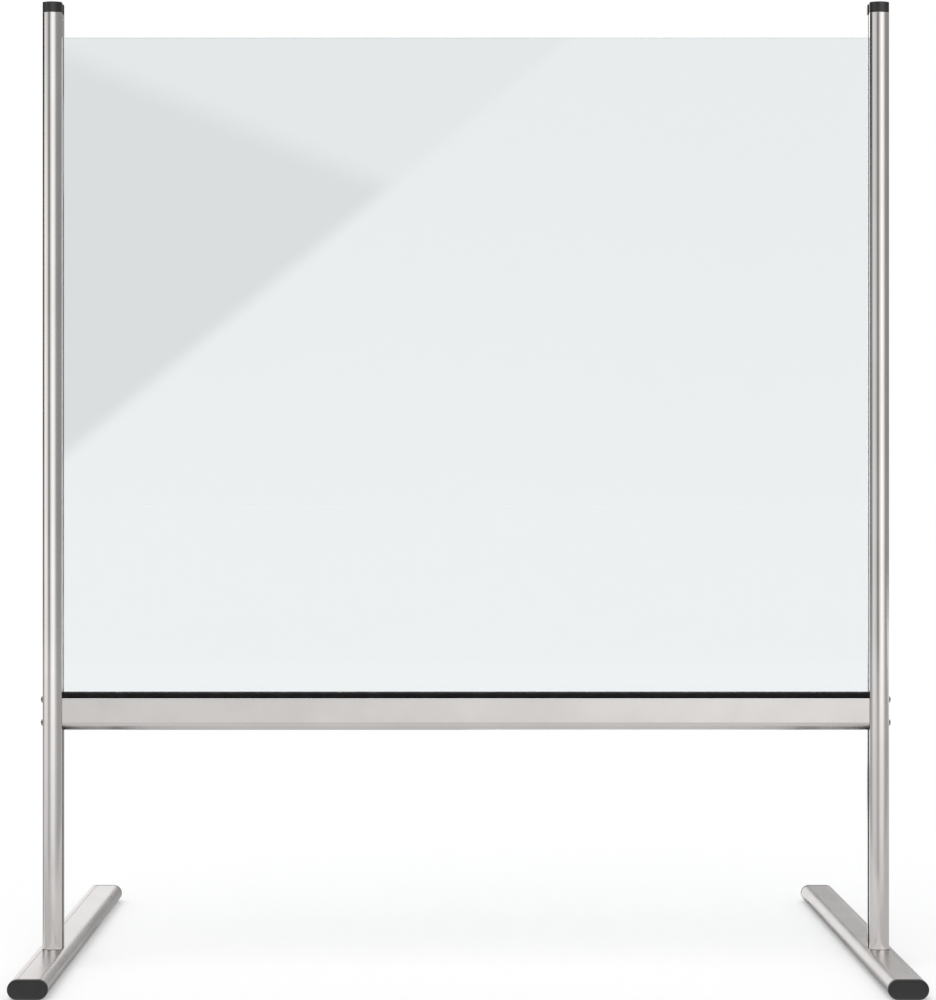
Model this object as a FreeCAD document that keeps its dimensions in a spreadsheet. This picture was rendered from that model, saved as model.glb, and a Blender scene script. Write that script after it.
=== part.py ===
"""Free-standing counter screen: a clear pane between two posts on long oval feet."""
import FreeCAD, Part
import os
import Sketcher

Vector = FreeCAD.Vector

# Driving sizes, in millimetres
SIZES = {
    # the whole screen
    "overall_wide": 900,
    "overall_high": 1005,
    # oval foot tubes and their end caps
    "foot_long": 500,
    "foot_wide": 40,
    "foot_high": 20,
    "foot_wall": 2,
    "foot_cap_flange": 5,
    "foot_cap_edge": 1.2,
    "foot_cap_plug": 16,
    "foot_cap_wall": 2,
    # barrel-shaped posts, cut from one extrusion
    "post_setback": 135,
    "post_wide": 20,
    "post_deep": 22,
    "post_bulge": 3.3,
    "post_corner": 0.8,
    "post_wall": 1.6,
    "channel_wall": 1.4,
    "port_pitch": 13,
    "port_wall": 1.1,
    # plugs on top of the posts
    "post_cap_high": 11,
    "post_cap_edge": 0.8,
    "post_cap_tongue": 14,
    # crossbar under the pane
    "bar_underside": 247,
    "bar_high": 34.5,
    "bar_deep": 14,
    "bar_corner": 2,
    "bar_keel_inside": 1.2,
    "bar_wall": 1.8,
    "bar_land_wide": 10,
    "bar_land_high": 1.1,
    "bar_port_low": 8,
    "bar_port_pitch": 24,
    # rubber strip on the crossbar
    "seal_high": 5.5,
    "seal_slot_deep": 3.2,
    "seal_crown": 2.6,
    # clear pane and the glazing channels in the posts
    "pane_thick": 5,
    "pane_high": 685,
    "pane_bite": 5,
    "pane_edge": 0.4,
    "guide_wall": 0.6,
    # screws through the posts into the crossbar
    "bar_screw_thick": 4,
    "bar_screw_long": 40,
    "bar_screw_head": 8,
    "bar_screw_head_high": 3.3,
    "bar_screw_head_rim": 1.1,
    "bar_screw_socket": 2.5,
    "bar_screw_socket_deep": 1.9,
    # screws up through the feet into the posts
    "foot_screw_thick": 5,
    "foot_screw_long": 30,
    "foot_screw_head": 9.5,
    "foot_screw_head_high": 3.5,
    "foot_screw_head_rim": 1.2,
    "foot_screw_socket": 3,
    "foot_screw_socket_deep": 2,
    # steel clamp plate inside each foot
    "plate_wide": 19.6,
    "plate_long": 34,
    "plate_thick": 3,
    "plate_corner": 3,
    # clearances
    "plug_fit": 0.1,
    "pane_play": 0.1,
    "pane_end_play": 0.5,
    "pane_rest_gap": 0.2,
    "guide_fit": 0.1,
    "guide_end_gap": 0.3,
    "seal_play": 0.3,
    "land_fit": 0.1,
    "thread_gap": 0.05,
    "screw_slack": 0.25,
    "driver_slack": 0.75,
    # how far a cut runs past the face that it opens
    "overrun": 2,
}

# The bar's lower corners are rounder than half its depth, by this share
BAR_ROUND_SHARE = 1.3

AXIS_X = Vector(1, 0, 0)
AXIS_Y = Vector(0, 1, 0)
AXIS_Z = Vector(0, 0, 1)
AXIS_TOLERANCE = 1e-6
HALF_TURN = FreeCAD.Rotation(AXIS_Z, 180)

doc = FreeCAD.newDocument("CounterScreen")
sheet = doc.addObject("Spreadsheet::Sheet", "Sizes")
for row, (name, value) in enumerate(SIZES.items(), start=1):
    sheet.set(f"A{row}", name)
    sheet.set(f"B{row}", str(value))
    sheet.setAlias(f"B{row}", name)
doc.recompute()

# Places and sizes that follow from the driving ones
POST_X = "(Sizes.overall_wide - Sizes.foot_wide) / 2"
POST_Y = "Sizes.post_setback + (Sizes.post_deep - Sizes.foot_long) / 2"
POST_LONG = "(Sizes.overall_high - Sizes.post_cap_high - Sizes.foot_high)"
POST_ARC = "((Sizes.post_wide ^ 2 / 4 + Sizes.post_bulge ^ 2) / (2 * Sizes.post_bulge))"
GROOVE_WIDE = "(Sizes.pane_thick + 2 * (Sizes.pane_play + Sizes.guide_wall + Sizes.guide_fit))"
GROOVE_DEEP = "(Sizes.pane_bite + Sizes.pane_end_play + Sizes.guide_wall + Sizes.guide_fit)"
CHANNEL_BACK = f"(Sizes.post_wide / 2 - {GROOVE_DEEP} - Sizes.channel_wall)"
PORT_BORE = "(Sizes.foot_screw_thick + 2 * Sizes.thread_gap)"
PORT_BOSS = f"({PORT_BORE} + 2 * Sizes.port_wall)"
BAR_LONG = "(Sizes.overall_wide - Sizes.foot_wide - Sizes.post_wide)"
BAR_ARC = f"({BAR_ROUND_SHARE} * Sizes.bar_deep / 2)"
BAR_PORT_BORE = "(Sizes.bar_screw_thick + 2 * Sizes.thread_gap)"
BAR_PORT_BOSS = f"({BAR_PORT_BORE} + 2 * Sizes.port_wall)"
BAR_PORT_HIGH = "(Sizes.bar_port_low + Sizes.bar_port_pitch)"
SEAL_TOP = "(Sizes.bar_underside + Sizes.bar_high + Sizes.seal_high)"
PANE_WIDE = f"({BAR_LONG} + 2 * Sizes.pane_bite)"
PLATE_TOP = "(Sizes.foot_high - Sizes.foot_wall)"


def size(text):
    """Value of an expression in the sheet's sizes."""
    return float(sheet.evalExpression(str(text)))


def new_body(label):
    """An empty body that carries the node's name."""
    body = doc.addObject("PartDesign::Body", label)
    body.Label = label
    return body


def datum(body, role):
    """One of the body's own origin planes or axes."""
    return next(item for item in body.Origin.OriginFeatures if item.Role == role)


def new_sketch(body, name, role, height=None):
    """Sketch on an origin plane of the body, raised along its normal by an expression."""
    sketch = body.newObject("Sketcher::SketchObject", name)
    sketch.AttachmentSupport = [(datum(body, role), "")]
    sketch.MapMode = "FlatFace"
    if height is not None:
        sketch.setExpression("AttachmentOffset.Base.z", height)
    return sketch


def bind(sketch, kind, picks, text):
    """Dimension between the picked points or on the picked curve, driven by an expression."""
    index = sketch.addConstraint(Sketcher.Constraint(kind, *picks, size(text)))
    sketch.setExpression(f"Constraints[{index}]", str(text))


def pin(sketch, curve, point, place):
    """Hold one point of a curve at a place given by two expressions."""
    for kind, axis, text in zip(("DistanceX", "DistanceY"), (-2, -1), place):
        if text == 0:
            sketch.addConstraint(Sketcher.Constraint("PointOnObject", curve, point, axis))
        else:
            bind(sketch, kind, (-1, 1, curve, point), text)


def add_circle(sketch, place, diameter):
    """Circle with its centre and diameter bound."""
    centre = Vector(size(place[0]), size(place[1]), 0)
    curve = sketch.addGeometry(Part.Circle(centre, AXIS_Z, size(diameter) / 2), False)
    pin(sketch, curve, 3, place)
    bind(sketch, "Diameter", (curve,), diameter)


def outward_arc(start, end, radius):
    """Arc under a half turn, anticlockwise from start to end."""
    middle = (start + end) / 2
    chord = end - start
    reach = max(radius ** 2 - chord.Length ** 2 / 4, 0) ** 0.5
    inward = Vector(-chord.y, chord.x, 0).normalize()
    centre = middle + inward * reach
    crown = centre - inward * radius
    return Part.Arc(start, crown, end)


def add_outline(sketch, corners):
    """Closed anticlockwise outline.

    Each corner is x, y and, where an arc leads to the next corner, that arc's radius.
    """
    first = sketch.GeometryCount
    count = len(corners)
    points = [Vector(size(corner[0]), size(corner[1]), 0) for corner in corners]
    for index, corner in enumerate(corners):
        start = points[index]
        end = points[(index + 1) % count]
        if len(corner) == 3:
            sketch.addGeometry(outward_arc(start, end, size(corner[2])), False)
        else:
            sketch.addGeometry(Part.LineSegment(start, end), False)
    for index, corner in enumerate(corners):
        curve = first + index
        following = first + (index + 1) % count
        sketch.addConstraint(Sketcher.Constraint("Coincident", curve, 2, following, 1))
        pin(sketch, curve, 1, corner[:2])
        if len(corner) == 3:
            bind(sketch, "Radius", (curve,), corner[2])


def add_rectangle(sketch, left, low, right, high):
    """Rectangle between two corners."""
    add_outline(sketch, [(left, low), (right, low), (right, high), (left, high)])


def pad(body, sketch, length, side="One side", backwards=False):
    """Solid pulled from a sketch."""
    feature = body.newObject("PartDesign::Pad", sketch.Name + "_pad")
    feature.Profile = sketch
    feature.SideType = side
    feature.Reversed = backwards
    feature.setExpression("Length", length)
    return feature


def pocket(body, sketch, length=None, side="One side", backwards=False):
    """Cut made with a sketch, right through the body where no length is given."""
    feature = body.newObject("PartDesign::Pocket", sketch.Name + "_cut")
    feature.Profile = sketch
    feature.SideType = side
    feature.Reversed = backwards
    if length is None:
        feature.Type = "ThroughAll"
    else:
        feature.setExpression("Length", length)
    return feature


def round_edges(body, name, radius, wanted):
    """Fillet on the edges of the body so far that pass a test."""
    doc.recompute()
    base = body.Tip
    picked = [f"Edge{number}" for number, edge in enumerate(base.Shape.Edges, start=1) if wanted(edge)]
    feature = body.newObject("PartDesign::Fillet", name)
    feature.Base = (base, picked)
    feature.setExpression("Radius", radius)
    return feature


def place(body, x, y, z, turn=None):
    """Set the body at its place, turned by a rotation where it needs one."""
    if turn is not None:
        body.Placement = FreeCAD.Placement(Vector(), turn)
    for axis, text in zip("xyz", (x, y, z)):
        if text != 0:
            body.setExpression(f"Placement.Base.{axis}", text)


def runs_along(edge, axis):
    """Whether an edge is straight and parallel to an axis."""
    straight = edge.Curve.TypeId == "Part::GeomLine"
    return straight and edge.Curve.Direction.cross(axis).Length < AXIS_TOLERANCE


def barrel(inset=0):
    """Outline of the post's section, drawn in by an inset."""
    half = f"(Sizes.post_wide / 2 - {inset})"
    radius = f"({POST_ARC} - {inset})"
    edge = f"(Sizes.post_deep / 2 - {POST_ARC} + sqrt({radius} ^ 2 - {half} ^ 2))"
    return [
        (f"-{half}", f"-{edge}", radius),
        (half, f"-{edge}"),
        (half, edge, radius),
        (f"-{half}", edge),
    ]


def oval(inset=0):
    """Outline of the foot's section, drawn in by an inset, standing on the sketch's x axis."""
    half = f"(Sizes.foot_wide / 2 - {inset})"
    radius = f"(Sizes.foot_high / 2 - {inset})"
    flat = "(Sizes.foot_wide / 2 - Sizes.foot_high / 2)"
    low = f"({inset})" if inset else 0
    middle = "(Sizes.foot_high / 2)"
    high = f"(Sizes.foot_high - {inset})"
    return [
        (f"-{flat}", low),
        (flat, low, radius),
        (half, middle, radius),
        (flat, high),
        (f"-{flat}", high, radius),
        (f"-{half}", middle, radius),
    ]


def bar_section(inset=0):
    """Outline of the crossbar: flat top and sides over a rounded underside, drawn in by an inset."""
    half = f"(Sizes.bar_deep / 2 - {inset})"
    radius = f"({BAR_ARC} - {inset})"
    keel = f"(Sizes.bar_keel_inside + Sizes.bar_wall - {inset})"
    offset = f"({BAR_ARC} - Sizes.bar_deep / 2)"
    reach = f"({radius} - {keel})"
    keel_half = f"({offset} * {keel} / {reach})"
    keel_top = f"({BAR_ARC} - {radius} * sqrt({reach} ^ 2 - {offset} ^ 2) / {reach})"
    top = f"(Sizes.bar_high - {inset})"
    return [
        (f"-{keel_half}", keel_top, keel),
        (keel_half, keel_top, radius),
        (half, BAR_ARC),
        (half, top),
        (f"-{half}", top),
        (f"-{half}", BAR_ARC, radius),
    ]


# Posts
def make_post(label):
    """Extruded post with the pane's groove on its +X flank and two screw ports."""
    body = new_body(label)
    outline = new_sketch(body, label + "_outline", "XY_Plane")
    add_outline(outline, barrel())
    pad(body, outline, POST_LONG)
    round_edges(body, label + "_corners", "Sizes.post_corner", lambda edge: runs_along(edge, AXIS_Z))
    cavity = new_sketch(body, label + "_cavity", "XY_Plane")
    add_outline(cavity, barrel("Sizes.post_wall"))
    pocket(body, cavity, backwards=True)
    channel = new_sketch(body, label + "_channel", "XY_Plane")
    half_channel = f"({GROOVE_WIDE} / 2 + Sizes.channel_wall)"
    add_rectangle(channel, CHANNEL_BACK, f"-{half_channel}", "Sizes.post_wide / 2", half_channel)
    pad(body, channel, POST_LONG)
    bosses = new_sketch(body, label + "_bosses", "XY_Plane")
    for sign in ("-", ""):
        add_circle(bosses, (0, f"{sign}Sizes.port_pitch / 2"), PORT_BOSS)
    pad(body, bosses, POST_LONG)
    groove = new_sketch(body, label + "_groove", "XY_Plane")
    groove_floor = f"Sizes.post_wide / 2 - {GROOVE_DEEP}"
    groove_mouth = "Sizes.post_wide / 2 + Sizes.overrun"
    add_rectangle(groove, groove_floor, f"-{GROOVE_WIDE} / 2", groove_mouth, f"{GROOVE_WIDE} / 2")
    pocket(body, groove, backwards=True)
    ports = new_sketch(body, label + "_ports", "XY_Plane")
    for sign in ("-", ""):
        add_circle(ports, (0, f"{sign}Sizes.port_pitch / 2"), PORT_BORE)
    pocket(body, ports, backwards=True)
    bar_holes = new_sketch(body, label + "_bar_holes", "YZ_Plane")
    for port in ("Sizes.bar_port_low", BAR_PORT_HIGH):
        height = f"Sizes.bar_underside - Sizes.foot_high + {port}"
        add_circle(bar_holes, (0, height), "Sizes.bar_screw_thick + 2 * Sizes.screw_slack")
    pocket(body, bar_holes, "Sizes.post_wide + 2 * Sizes.overrun", side="Symmetric")
    return body


def make_post_cap(label):
    """Moulded plug: the post's outline on top, a tongue between the ports below."""
    body = new_body(label)
    outline = new_sketch(body, label + "_outline", "XY_Plane")
    add_outline(outline, barrel())
    pad(body, outline, "Sizes.post_cap_high")
    round_edges(body, label + "_corners", "Sizes.post_corner", lambda edge: runs_along(edge, AXIS_Z))
    high = size("Sizes.post_cap_high")
    round_edges(body, label + "_crown", "Sizes.post_cap_edge", lambda edge: edge.BoundBox.ZMin > high / 2)
    tongue = new_sketch(body, label + "_tongue", "XY_Plane")
    left = "-(Sizes.post_wide / 2 - Sizes.post_wall - Sizes.plug_fit)"
    right = f"{CHANNEL_BACK} - Sizes.plug_fit"
    half_thick = f"((Sizes.port_pitch - {PORT_BOSS}) / 2 - Sizes.plug_fit)"
    add_rectangle(tongue, left, f"-{half_thick}", right, half_thick)
    pad(body, tongue, "Sizes.post_cap_tongue", backwards=True)
    notch = new_sketch(body, label + "_notch", "XY_Plane")
    notch_floor = f"Sizes.post_wide / 2 - {GROOVE_DEEP}"
    notch_mouth = "Sizes.post_wide / 2 + Sizes.overrun"
    add_rectangle(notch, notch_floor, f"-{GROOVE_WIDE} / 2", notch_mouth, f"{GROOVE_WIDE} / 2")
    pocket(body, notch, backwards=True)
    return body


def make_guide(label):
    """Thin glazing channel that lines the post's groove beside the pane."""
    body = new_body(label)
    long = f"(Sizes.foot_high + {POST_LONG} - {SEAL_TOP} - Sizes.guide_end_gap)"
    outer = new_sketch(body, label + "_outer", "XY_Plane")
    floor = f"(Sizes.post_wide / 2 - {GROOVE_DEEP} + Sizes.guide_fit)"
    half_outer = f"({GROOVE_WIDE} / 2 - Sizes.guide_fit)"
    add_rectangle(outer, floor, f"-{half_outer}", "Sizes.post_wide / 2", half_outer)
    pad(body, outer, long)
    inner = new_sketch(body, label + "_inner", "XY_Plane")
    half_inner = f"({half_outer} - Sizes.guide_wall)"
    mouth = "Sizes.post_wide / 2 + Sizes.overrun"
    add_rectangle(inner, f"{floor} + Sizes.guide_wall", f"-{half_inner}", mouth, half_inner)
    pocket(body, inner, backwards=True)
    return body


# Crossbar and its rubber strip
def make_crossbar(label):
    """Extruded crossbar with a raised land on top and a screw port at two heights."""
    body = new_body(label)
    outline = new_sketch(body, label + "_outline", "YZ_Plane")
    add_outline(outline, bar_section())
    pad(body, outline, BAR_LONG, side="Symmetric")
    middle = size("Sizes.bar_high / 2")

    def is_top_arris(edge):
        return runs_along(edge, AXIS_X) and edge.CenterOfMass.z > middle

    round_edges(body, label + "_arrises", "Sizes.bar_corner", is_top_arris)
    cavity = new_sketch(body, label + "_cavity", "YZ_Plane")
    add_outline(cavity, bar_section("Sizes.bar_wall"))
    pocket(body, cavity, f"{BAR_LONG} + 2 * Sizes.overrun", side="Symmetric")
    land = new_sketch(body, label + "_land", "YZ_Plane")
    half_land = "Sizes.bar_land_wide / 2"
    land_top = "Sizes.bar_high + Sizes.bar_land_high"
    add_rectangle(land, f"-{half_land}", "Sizes.bar_high - Sizes.bar_wall", half_land, land_top)
    pad(body, land, BAR_LONG, side="Symmetric")
    for name, port in (("low", "Sizes.bar_port_low"), ("high", BAR_PORT_HIGH)):
        web = new_sketch(body, f"{label}_{name}_web", "YZ_Plane")
        half_web = "(Sizes.bar_deep - Sizes.bar_wall) / 2"
        low = f"{port} - Sizes.bar_wall / 2"
        add_rectangle(web, f"-{half_web}", low, half_web, f"{port} + Sizes.bar_wall / 2")
        pad(body, web, BAR_LONG, side="Symmetric")
        boss = new_sketch(body, f"{label}_{name}_boss", "YZ_Plane")
        add_circle(boss, (0, port), BAR_PORT_BOSS)
        pad(body, boss, BAR_LONG, side="Symmetric")
    ports = new_sketch(body, label + "_ports", "YZ_Plane")
    for port in ("Sizes.bar_port_low", BAR_PORT_HIGH):
        add_circle(ports, (0, port), BAR_PORT_BORE)
    pocket(body, ports, f"{BAR_LONG} + 2 * Sizes.overrun", side="Symmetric")
    return body


def make_seal(label):
    """Rubber strip that sits over the bar's land and holds the pane's lower edge in a slot."""
    body = new_body(label)
    outline = new_sketch(body, label + "_outline", "YZ_Plane")
    half_deep = "Sizes.bar_deep / 2"
    add_rectangle(outline, f"-{half_deep}", 0, half_deep, "Sizes.seal_high")
    pad(body, outline, BAR_LONG, side="Symmetric")
    middle = size("Sizes.seal_high / 2")

    def is_top_arris(edge):
        return runs_along(edge, AXIS_X) and edge.CenterOfMass.z > middle

    round_edges(body, label + "_crown", "Sizes.seal_crown", is_top_arris)
    slot = new_sketch(body, label + "_slot", "YZ_Plane")
    half_slot = "(Sizes.pane_thick / 2 + Sizes.seal_play)"
    slot_floor = "Sizes.seal_high - Sizes.seal_slot_deep"
    add_rectangle(slot, f"-{half_slot}", slot_floor, half_slot, "Sizes.seal_high + Sizes.overrun")
    pocket(body, slot, f"{BAR_LONG} + 2 * Sizes.overrun", side="Symmetric")
    recess = new_sketch(body, label + "_recess", "YZ_Plane")
    half_recess = "(Sizes.bar_land_wide / 2 + Sizes.land_fit)"
    recess_top = "Sizes.bar_land_high + Sizes.land_fit"
    add_rectangle(recess, f"-{half_recess}", "-Sizes.overrun", half_recess, recess_top)
    pocket(body, recess, f"{BAR_LONG} + 2 * Sizes.overrun", side="Symmetric")
    return body


def make_pane(label):
    """Clear sheet with eased edges, standing on its lower edge."""
    body = new_body(label)
    outline = new_sketch(body, label + "_outline", "XZ_Plane")
    add_rectangle(outline, f"-{PANE_WIDE} / 2", 0, f"{PANE_WIDE} / 2", "Sizes.pane_high")
    pad(body, outline, "Sizes.pane_thick", side="Symmetric")
    round_edges(body, label + "_edges", "Sizes.pane_edge", lambda edge: not runs_along(edge, AXIS_Y))
    return body


# Feet
def make_foot_tube(label):
    """Oval tube with clearance holes on top and driver holes below, under the post."""
    body = new_body(label)
    long = "(Sizes.foot_long - 2 * Sizes.foot_cap_flange)"
    outline = new_sketch(body, label + "_outline", "XZ_Plane")
    add_outline(outline, oval())
    pad(body, outline, long, side="Symmetric")
    bore = new_sketch(body, label + "_bore", "XZ_Plane")
    add_outline(bore, oval("Sizes.foot_wall"))
    pocket(body, bore, f"{long} + 2 * Sizes.overrun", side="Symmetric")
    top_holes = new_sketch(body, label + "_top_holes", "XY_Plane", "Sizes.foot_high")
    under_holes = new_sketch(body, label + "_under_holes", "XY_Plane")
    for sign in ("-", "+"):
        hole = (0, f"{POST_Y} {sign} Sizes.port_pitch / 2")
        add_circle(top_holes, hole, "Sizes.foot_screw_thick + 2 * Sizes.screw_slack")
        add_circle(under_holes, hole, "Sizes.foot_screw_head + 2 * Sizes.driver_slack")
    pocket(body, top_holes, "Sizes.foot_wall + Sizes.overrun")
    pocket(body, under_holes, "Sizes.foot_wall + Sizes.overrun", backwards=True)
    return body


def make_foot_cap(label):
    """Moulded end cap: an oval flange, and a hollow plug along +Y that fits the tube."""
    body = new_body(label)
    flange = new_sketch(body, label + "_flange", "XZ_Plane")
    add_outline(flange, oval())
    pad(body, flange, "Sizes.foot_cap_flange", backwards=True)
    middle = size("Sizes.foot_cap_flange / 2")
    round_edges(body, label + "_edge", "Sizes.foot_cap_edge", lambda edge: edge.BoundBox.YMax < middle)
    reach = "Sizes.foot_cap_flange + Sizes.foot_cap_plug"
    plug = new_sketch(body, label + "_plug", "XZ_Plane")
    add_outline(plug, oval("(Sizes.foot_wall + Sizes.plug_fit)"))
    pad(body, plug, reach, backwards=True)
    hollow = new_sketch(body, label + "_hollow", "XZ_Plane", "-Sizes.foot_cap_flange")
    add_outline(hollow, oval("(Sizes.foot_wall + Sizes.plug_fit + Sizes.foot_cap_wall)"))
    pocket(body, hollow, "Sizes.foot_cap_plug + Sizes.overrun")
    return body


def make_plate(label):
    """Steel plate that spreads the foot screws' pull under the tube's top wall."""
    body = new_body(label)
    outline = new_sketch(body, label + "_outline", "XY_Plane")
    half_wide = "Sizes.plate_wide / 2"
    half_long = "Sizes.plate_long / 2"
    add_rectangle(outline, f"-{half_wide}", f"-{half_long}", half_wide, half_long)
    pad(body, outline, "Sizes.plate_thick", backwards=True)
    round_edges(body, label + "_corners", "Sizes.plate_corner", lambda edge: runs_along(edge, AXIS_Z))
    holes = new_sketch(body, label + "_holes", "XY_Plane")
    for sign in ("-", ""):
        hole = (0, f"{sign}Sizes.port_pitch / 2")
        add_circle(holes, hole, "Sizes.foot_screw_thick + 2 * Sizes.screw_slack")
    pocket(body, holes)
    return body


def make_screws(label, kind, row_axis, pitch):
    """Two alike socket screws along +X, a pitch apart, each with its head's seat at x = 0."""
    body = new_body(label)
    head, high, rim, thick, long, socket, deep = (
        f"Sizes.{kind}_{name}"
        for name in ("head", "head_high", "head_rim", "thick", "long", "socket", "socket_deep")
    )
    profile = new_sketch(body, label + "_profile", "XZ_Plane")
    rise = f"({high} - {rim})"
    dome = f"((({head} / 2) ^ 2 + {rise} ^ 2) / (2 * {rise}))"
    add_outline(profile, [
        (f"-{high}", 0),
        (long, 0),
        (long, f"{thick} / 2"),
        (0, f"{thick} / 2"),
        (0, f"{head} / 2"),
        (f"-{rim}", f"{head} / 2", dome),
    ])
    turned = body.newObject("PartDesign::Revolution", label + "_turned")
    turned.Profile = profile
    turned.ReferenceAxis = (datum(body, "X_Axis"), [""])
    hexagon = new_sketch(body, label + "_socket", "YZ_Plane", f"-{high}")
    half_flats = f"{socket} / 2"
    corner = f"{socket} / sqrt(3)"
    add_outline(hexagon, [
        (half_flats, f"-{corner} / 2"),
        (half_flats, f"{corner} / 2"),
        (0, corner),
        (f"-{half_flats}", f"{corner} / 2"),
        (f"-{half_flats}", f"-{corner} / 2"),
        (0, f"-{corner}"),
    ])
    socket_cut = pocket(body, hexagon, deep, backwards=True)
    row = body.newObject("PartDesign::LinearPattern", label + "_row")
    row.Originals = [turned, socket_cut]
    row.Direction = (datum(body, row_axis), [""])
    row.setExpression("Length", pitch)
    row.Occurrences = 2
    body.Tip = row
    return body


# The assembly
def build():
    """Make every piece at its place and return the bodies."""
    post_foot = "Sizes.foot_high"
    post_head = f"Sizes.foot_high + {POST_LONG}"
    bar_top = "Sizes.bar_underside + Sizes.bar_high"
    pane_low = f"{SEAL_TOP} - Sizes.seal_slot_deep + Sizes.pane_rest_gap"
    bodies = []
    for side, sign, turn in (("left", "-", None), ("right", "", HALF_TURN)):
        post_x = f"{sign}{POST_X}"
        flank_x = f"{sign}({POST_X} + Sizes.post_wide / 2)"
        port_y = f"{POST_Y} - Sizes.port_pitch / 2"
        parts = [
            (make_post(f"{side}_post"), post_x, POST_Y, post_foot, turn),
            (make_post_cap(f"{side}_post_cap"), post_x, POST_Y, post_head, turn),
            (make_guide(f"{side}_pane_guide"), post_x, POST_Y, SEAL_TOP, turn),
            (make_foot_tube(f"{side}_foot_tube"), post_x, 0, 0, None),
            (make_foot_cap(f"{side}_foot_front_cap"), post_x, "-Sizes.foot_long / 2", 0, None),
            (make_foot_cap(f"{side}_foot_rear_cap"), post_x, "Sizes.foot_long / 2", 0, HALF_TURN),
            (make_plate(f"{side}_clamp_plate"), post_x, POST_Y, PLATE_TOP, None),
        ]
        bar_screws = make_screws(f"{side}_bar_screws", "bar_screw", "Z_Axis", "Sizes.bar_port_pitch")
        bar_screw_z = "Sizes.bar_underside + Sizes.bar_port_low"
        parts.append((bar_screws, flank_x, POST_Y, bar_screw_z, turn))
        foot_screws = make_screws(f"{side}_foot_screws", "foot_screw", "Y_Axis", "Sizes.port_pitch")
        foot_screw_z = f"{PLATE_TOP} - Sizes.plate_thick"
        parts.append((foot_screws, post_x, port_y, foot_screw_z, FreeCAD.Rotation(AXIS_Y, -90)))
        for body, x, y, z, rotation in parts:
            place(body, x, y, z, rotation)
            bodies.append(body)
    for body, z in (
        (make_crossbar("crossbar"), "Sizes.bar_underside"),
        (make_seal("pane_seal"), bar_top),
        (make_pane("acrylic_pane"), pane_low),
    ):
        place(body, 0, POST_Y, z)
        bodies.append(body)
    return bodies


def write_parts(bodies):
    """Check the document and write each piece to its own file."""
    doc.recompute()
    failed = [item.Name for item in doc.Objects if {"Invalid", "Error"} & set(item.State)]
    if failed:
        raise RuntimeError("features that did not compute: " + ", ".join(failed))
    os.makedirs("parts", exist_ok=True)
    for body in bodies:
        if body.Shape.isNull() or not body.Shape.isValid():
            raise RuntimeError("no valid solid in " + body.Label)
        body.Shape.exportStep(f"parts/{body.Label}.step")
        box = body.Shape.BoundBox
        print(f"{body.Label}: {len(body.Shape.Solids)} solid, {body.Shape.Volume:.0f} mm3, "
              f"x {box.XMin:.1f} to {box.XMax:.1f}, y {box.YMin:.1f} to {box.YMax:.1f}, "
              f"z {box.ZMin:.1f} to {box.ZMax:.1f}")


write_parts(build())
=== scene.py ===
"""Looks of a free-standing acrylic hygiene screen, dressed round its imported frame.

Sizes of pieces are in millimetres, as in the source of the part, and become metres where a mesh is made.
The studio is set out in metres.
"""

import logging
import math
from abc import ABC, abstractmethod
from collections.abc import Iterable, Sequence
from dataclasses import dataclass, field, replace
from enum import Enum

import bmesh
import bpy
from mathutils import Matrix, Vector
from mathutils.geometry import delaunay_2d_cdt

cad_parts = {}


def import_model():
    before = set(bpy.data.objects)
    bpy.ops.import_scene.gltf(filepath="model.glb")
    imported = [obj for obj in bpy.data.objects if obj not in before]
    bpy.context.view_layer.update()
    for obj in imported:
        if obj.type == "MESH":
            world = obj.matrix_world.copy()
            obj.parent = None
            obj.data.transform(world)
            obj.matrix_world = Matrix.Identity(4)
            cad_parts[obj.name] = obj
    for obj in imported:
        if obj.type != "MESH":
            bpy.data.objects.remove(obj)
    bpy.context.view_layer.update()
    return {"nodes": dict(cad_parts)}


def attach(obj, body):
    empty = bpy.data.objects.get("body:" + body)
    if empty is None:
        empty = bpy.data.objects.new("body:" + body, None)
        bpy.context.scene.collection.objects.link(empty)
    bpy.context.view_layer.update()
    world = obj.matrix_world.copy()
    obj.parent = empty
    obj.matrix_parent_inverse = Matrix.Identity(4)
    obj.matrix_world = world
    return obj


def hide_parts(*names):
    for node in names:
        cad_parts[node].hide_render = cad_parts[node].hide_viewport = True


LOG = logging.getLogger("hygiene_screen")

# Kinds of value: a span holds a lamp's left, right, lower and upper edges
Pair = tuple[float, float]
Point = tuple[float, float]
Place = tuple[float, float, float]
Span = tuple[float, float, float, float]
Loop = list[Point]
Colour = tuple[float, float, float]
Socket = bpy.types.NodeSocket

MILLIMETRE = 0.001
FRAME_BODY = "frame"
PANE_BODY = "pane"
CUT_TOLERANCE = 1e-5
SHARP_ANGLE = math.radians(40.0)
LEAST_MITRE = 0.35
BARREL_STEPS = 56
CORNER_STEPS = 8
LIP_STEPS = 4
OVAL_STEPS = 36
CIRCLE_STEPS = 48
SCREW_STEPS = 48
HEX_SIDES = 6
BOARD_RISE = 0.002
WHITE = (1.0, 1.0, 1.0, 1.0)
BLACK = (0.0, 0.0, 0.0, 1.0)


# Flat geometry of the sections
def spread(start: float, end: float, steps: int) -> list[float]:
    """Space values evenly over the given number of steps, with both ends included."""
    return [start + (end - start) * step / steps for step in range(steps + 1)]


def arc(centre: Point, radius: float, start: float, end: float, steps: int) -> Loop:
    """Place points along a circular arc.

    Args:
        centre: Middle of the circle.
        radius: Radius of the circle.
        start: First angle in degrees, anticlockwise from the section's first axis.
        end: Last angle in degrees.
        steps: Number of chords.

    Returns:
        The points, with both ends included.
    """
    return [
        (centre[0] + radius * math.cos(angle), centre[1] + radius * math.sin(angle))
        for angle in spread(math.radians(start), math.radians(end), steps)
    ]


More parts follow.
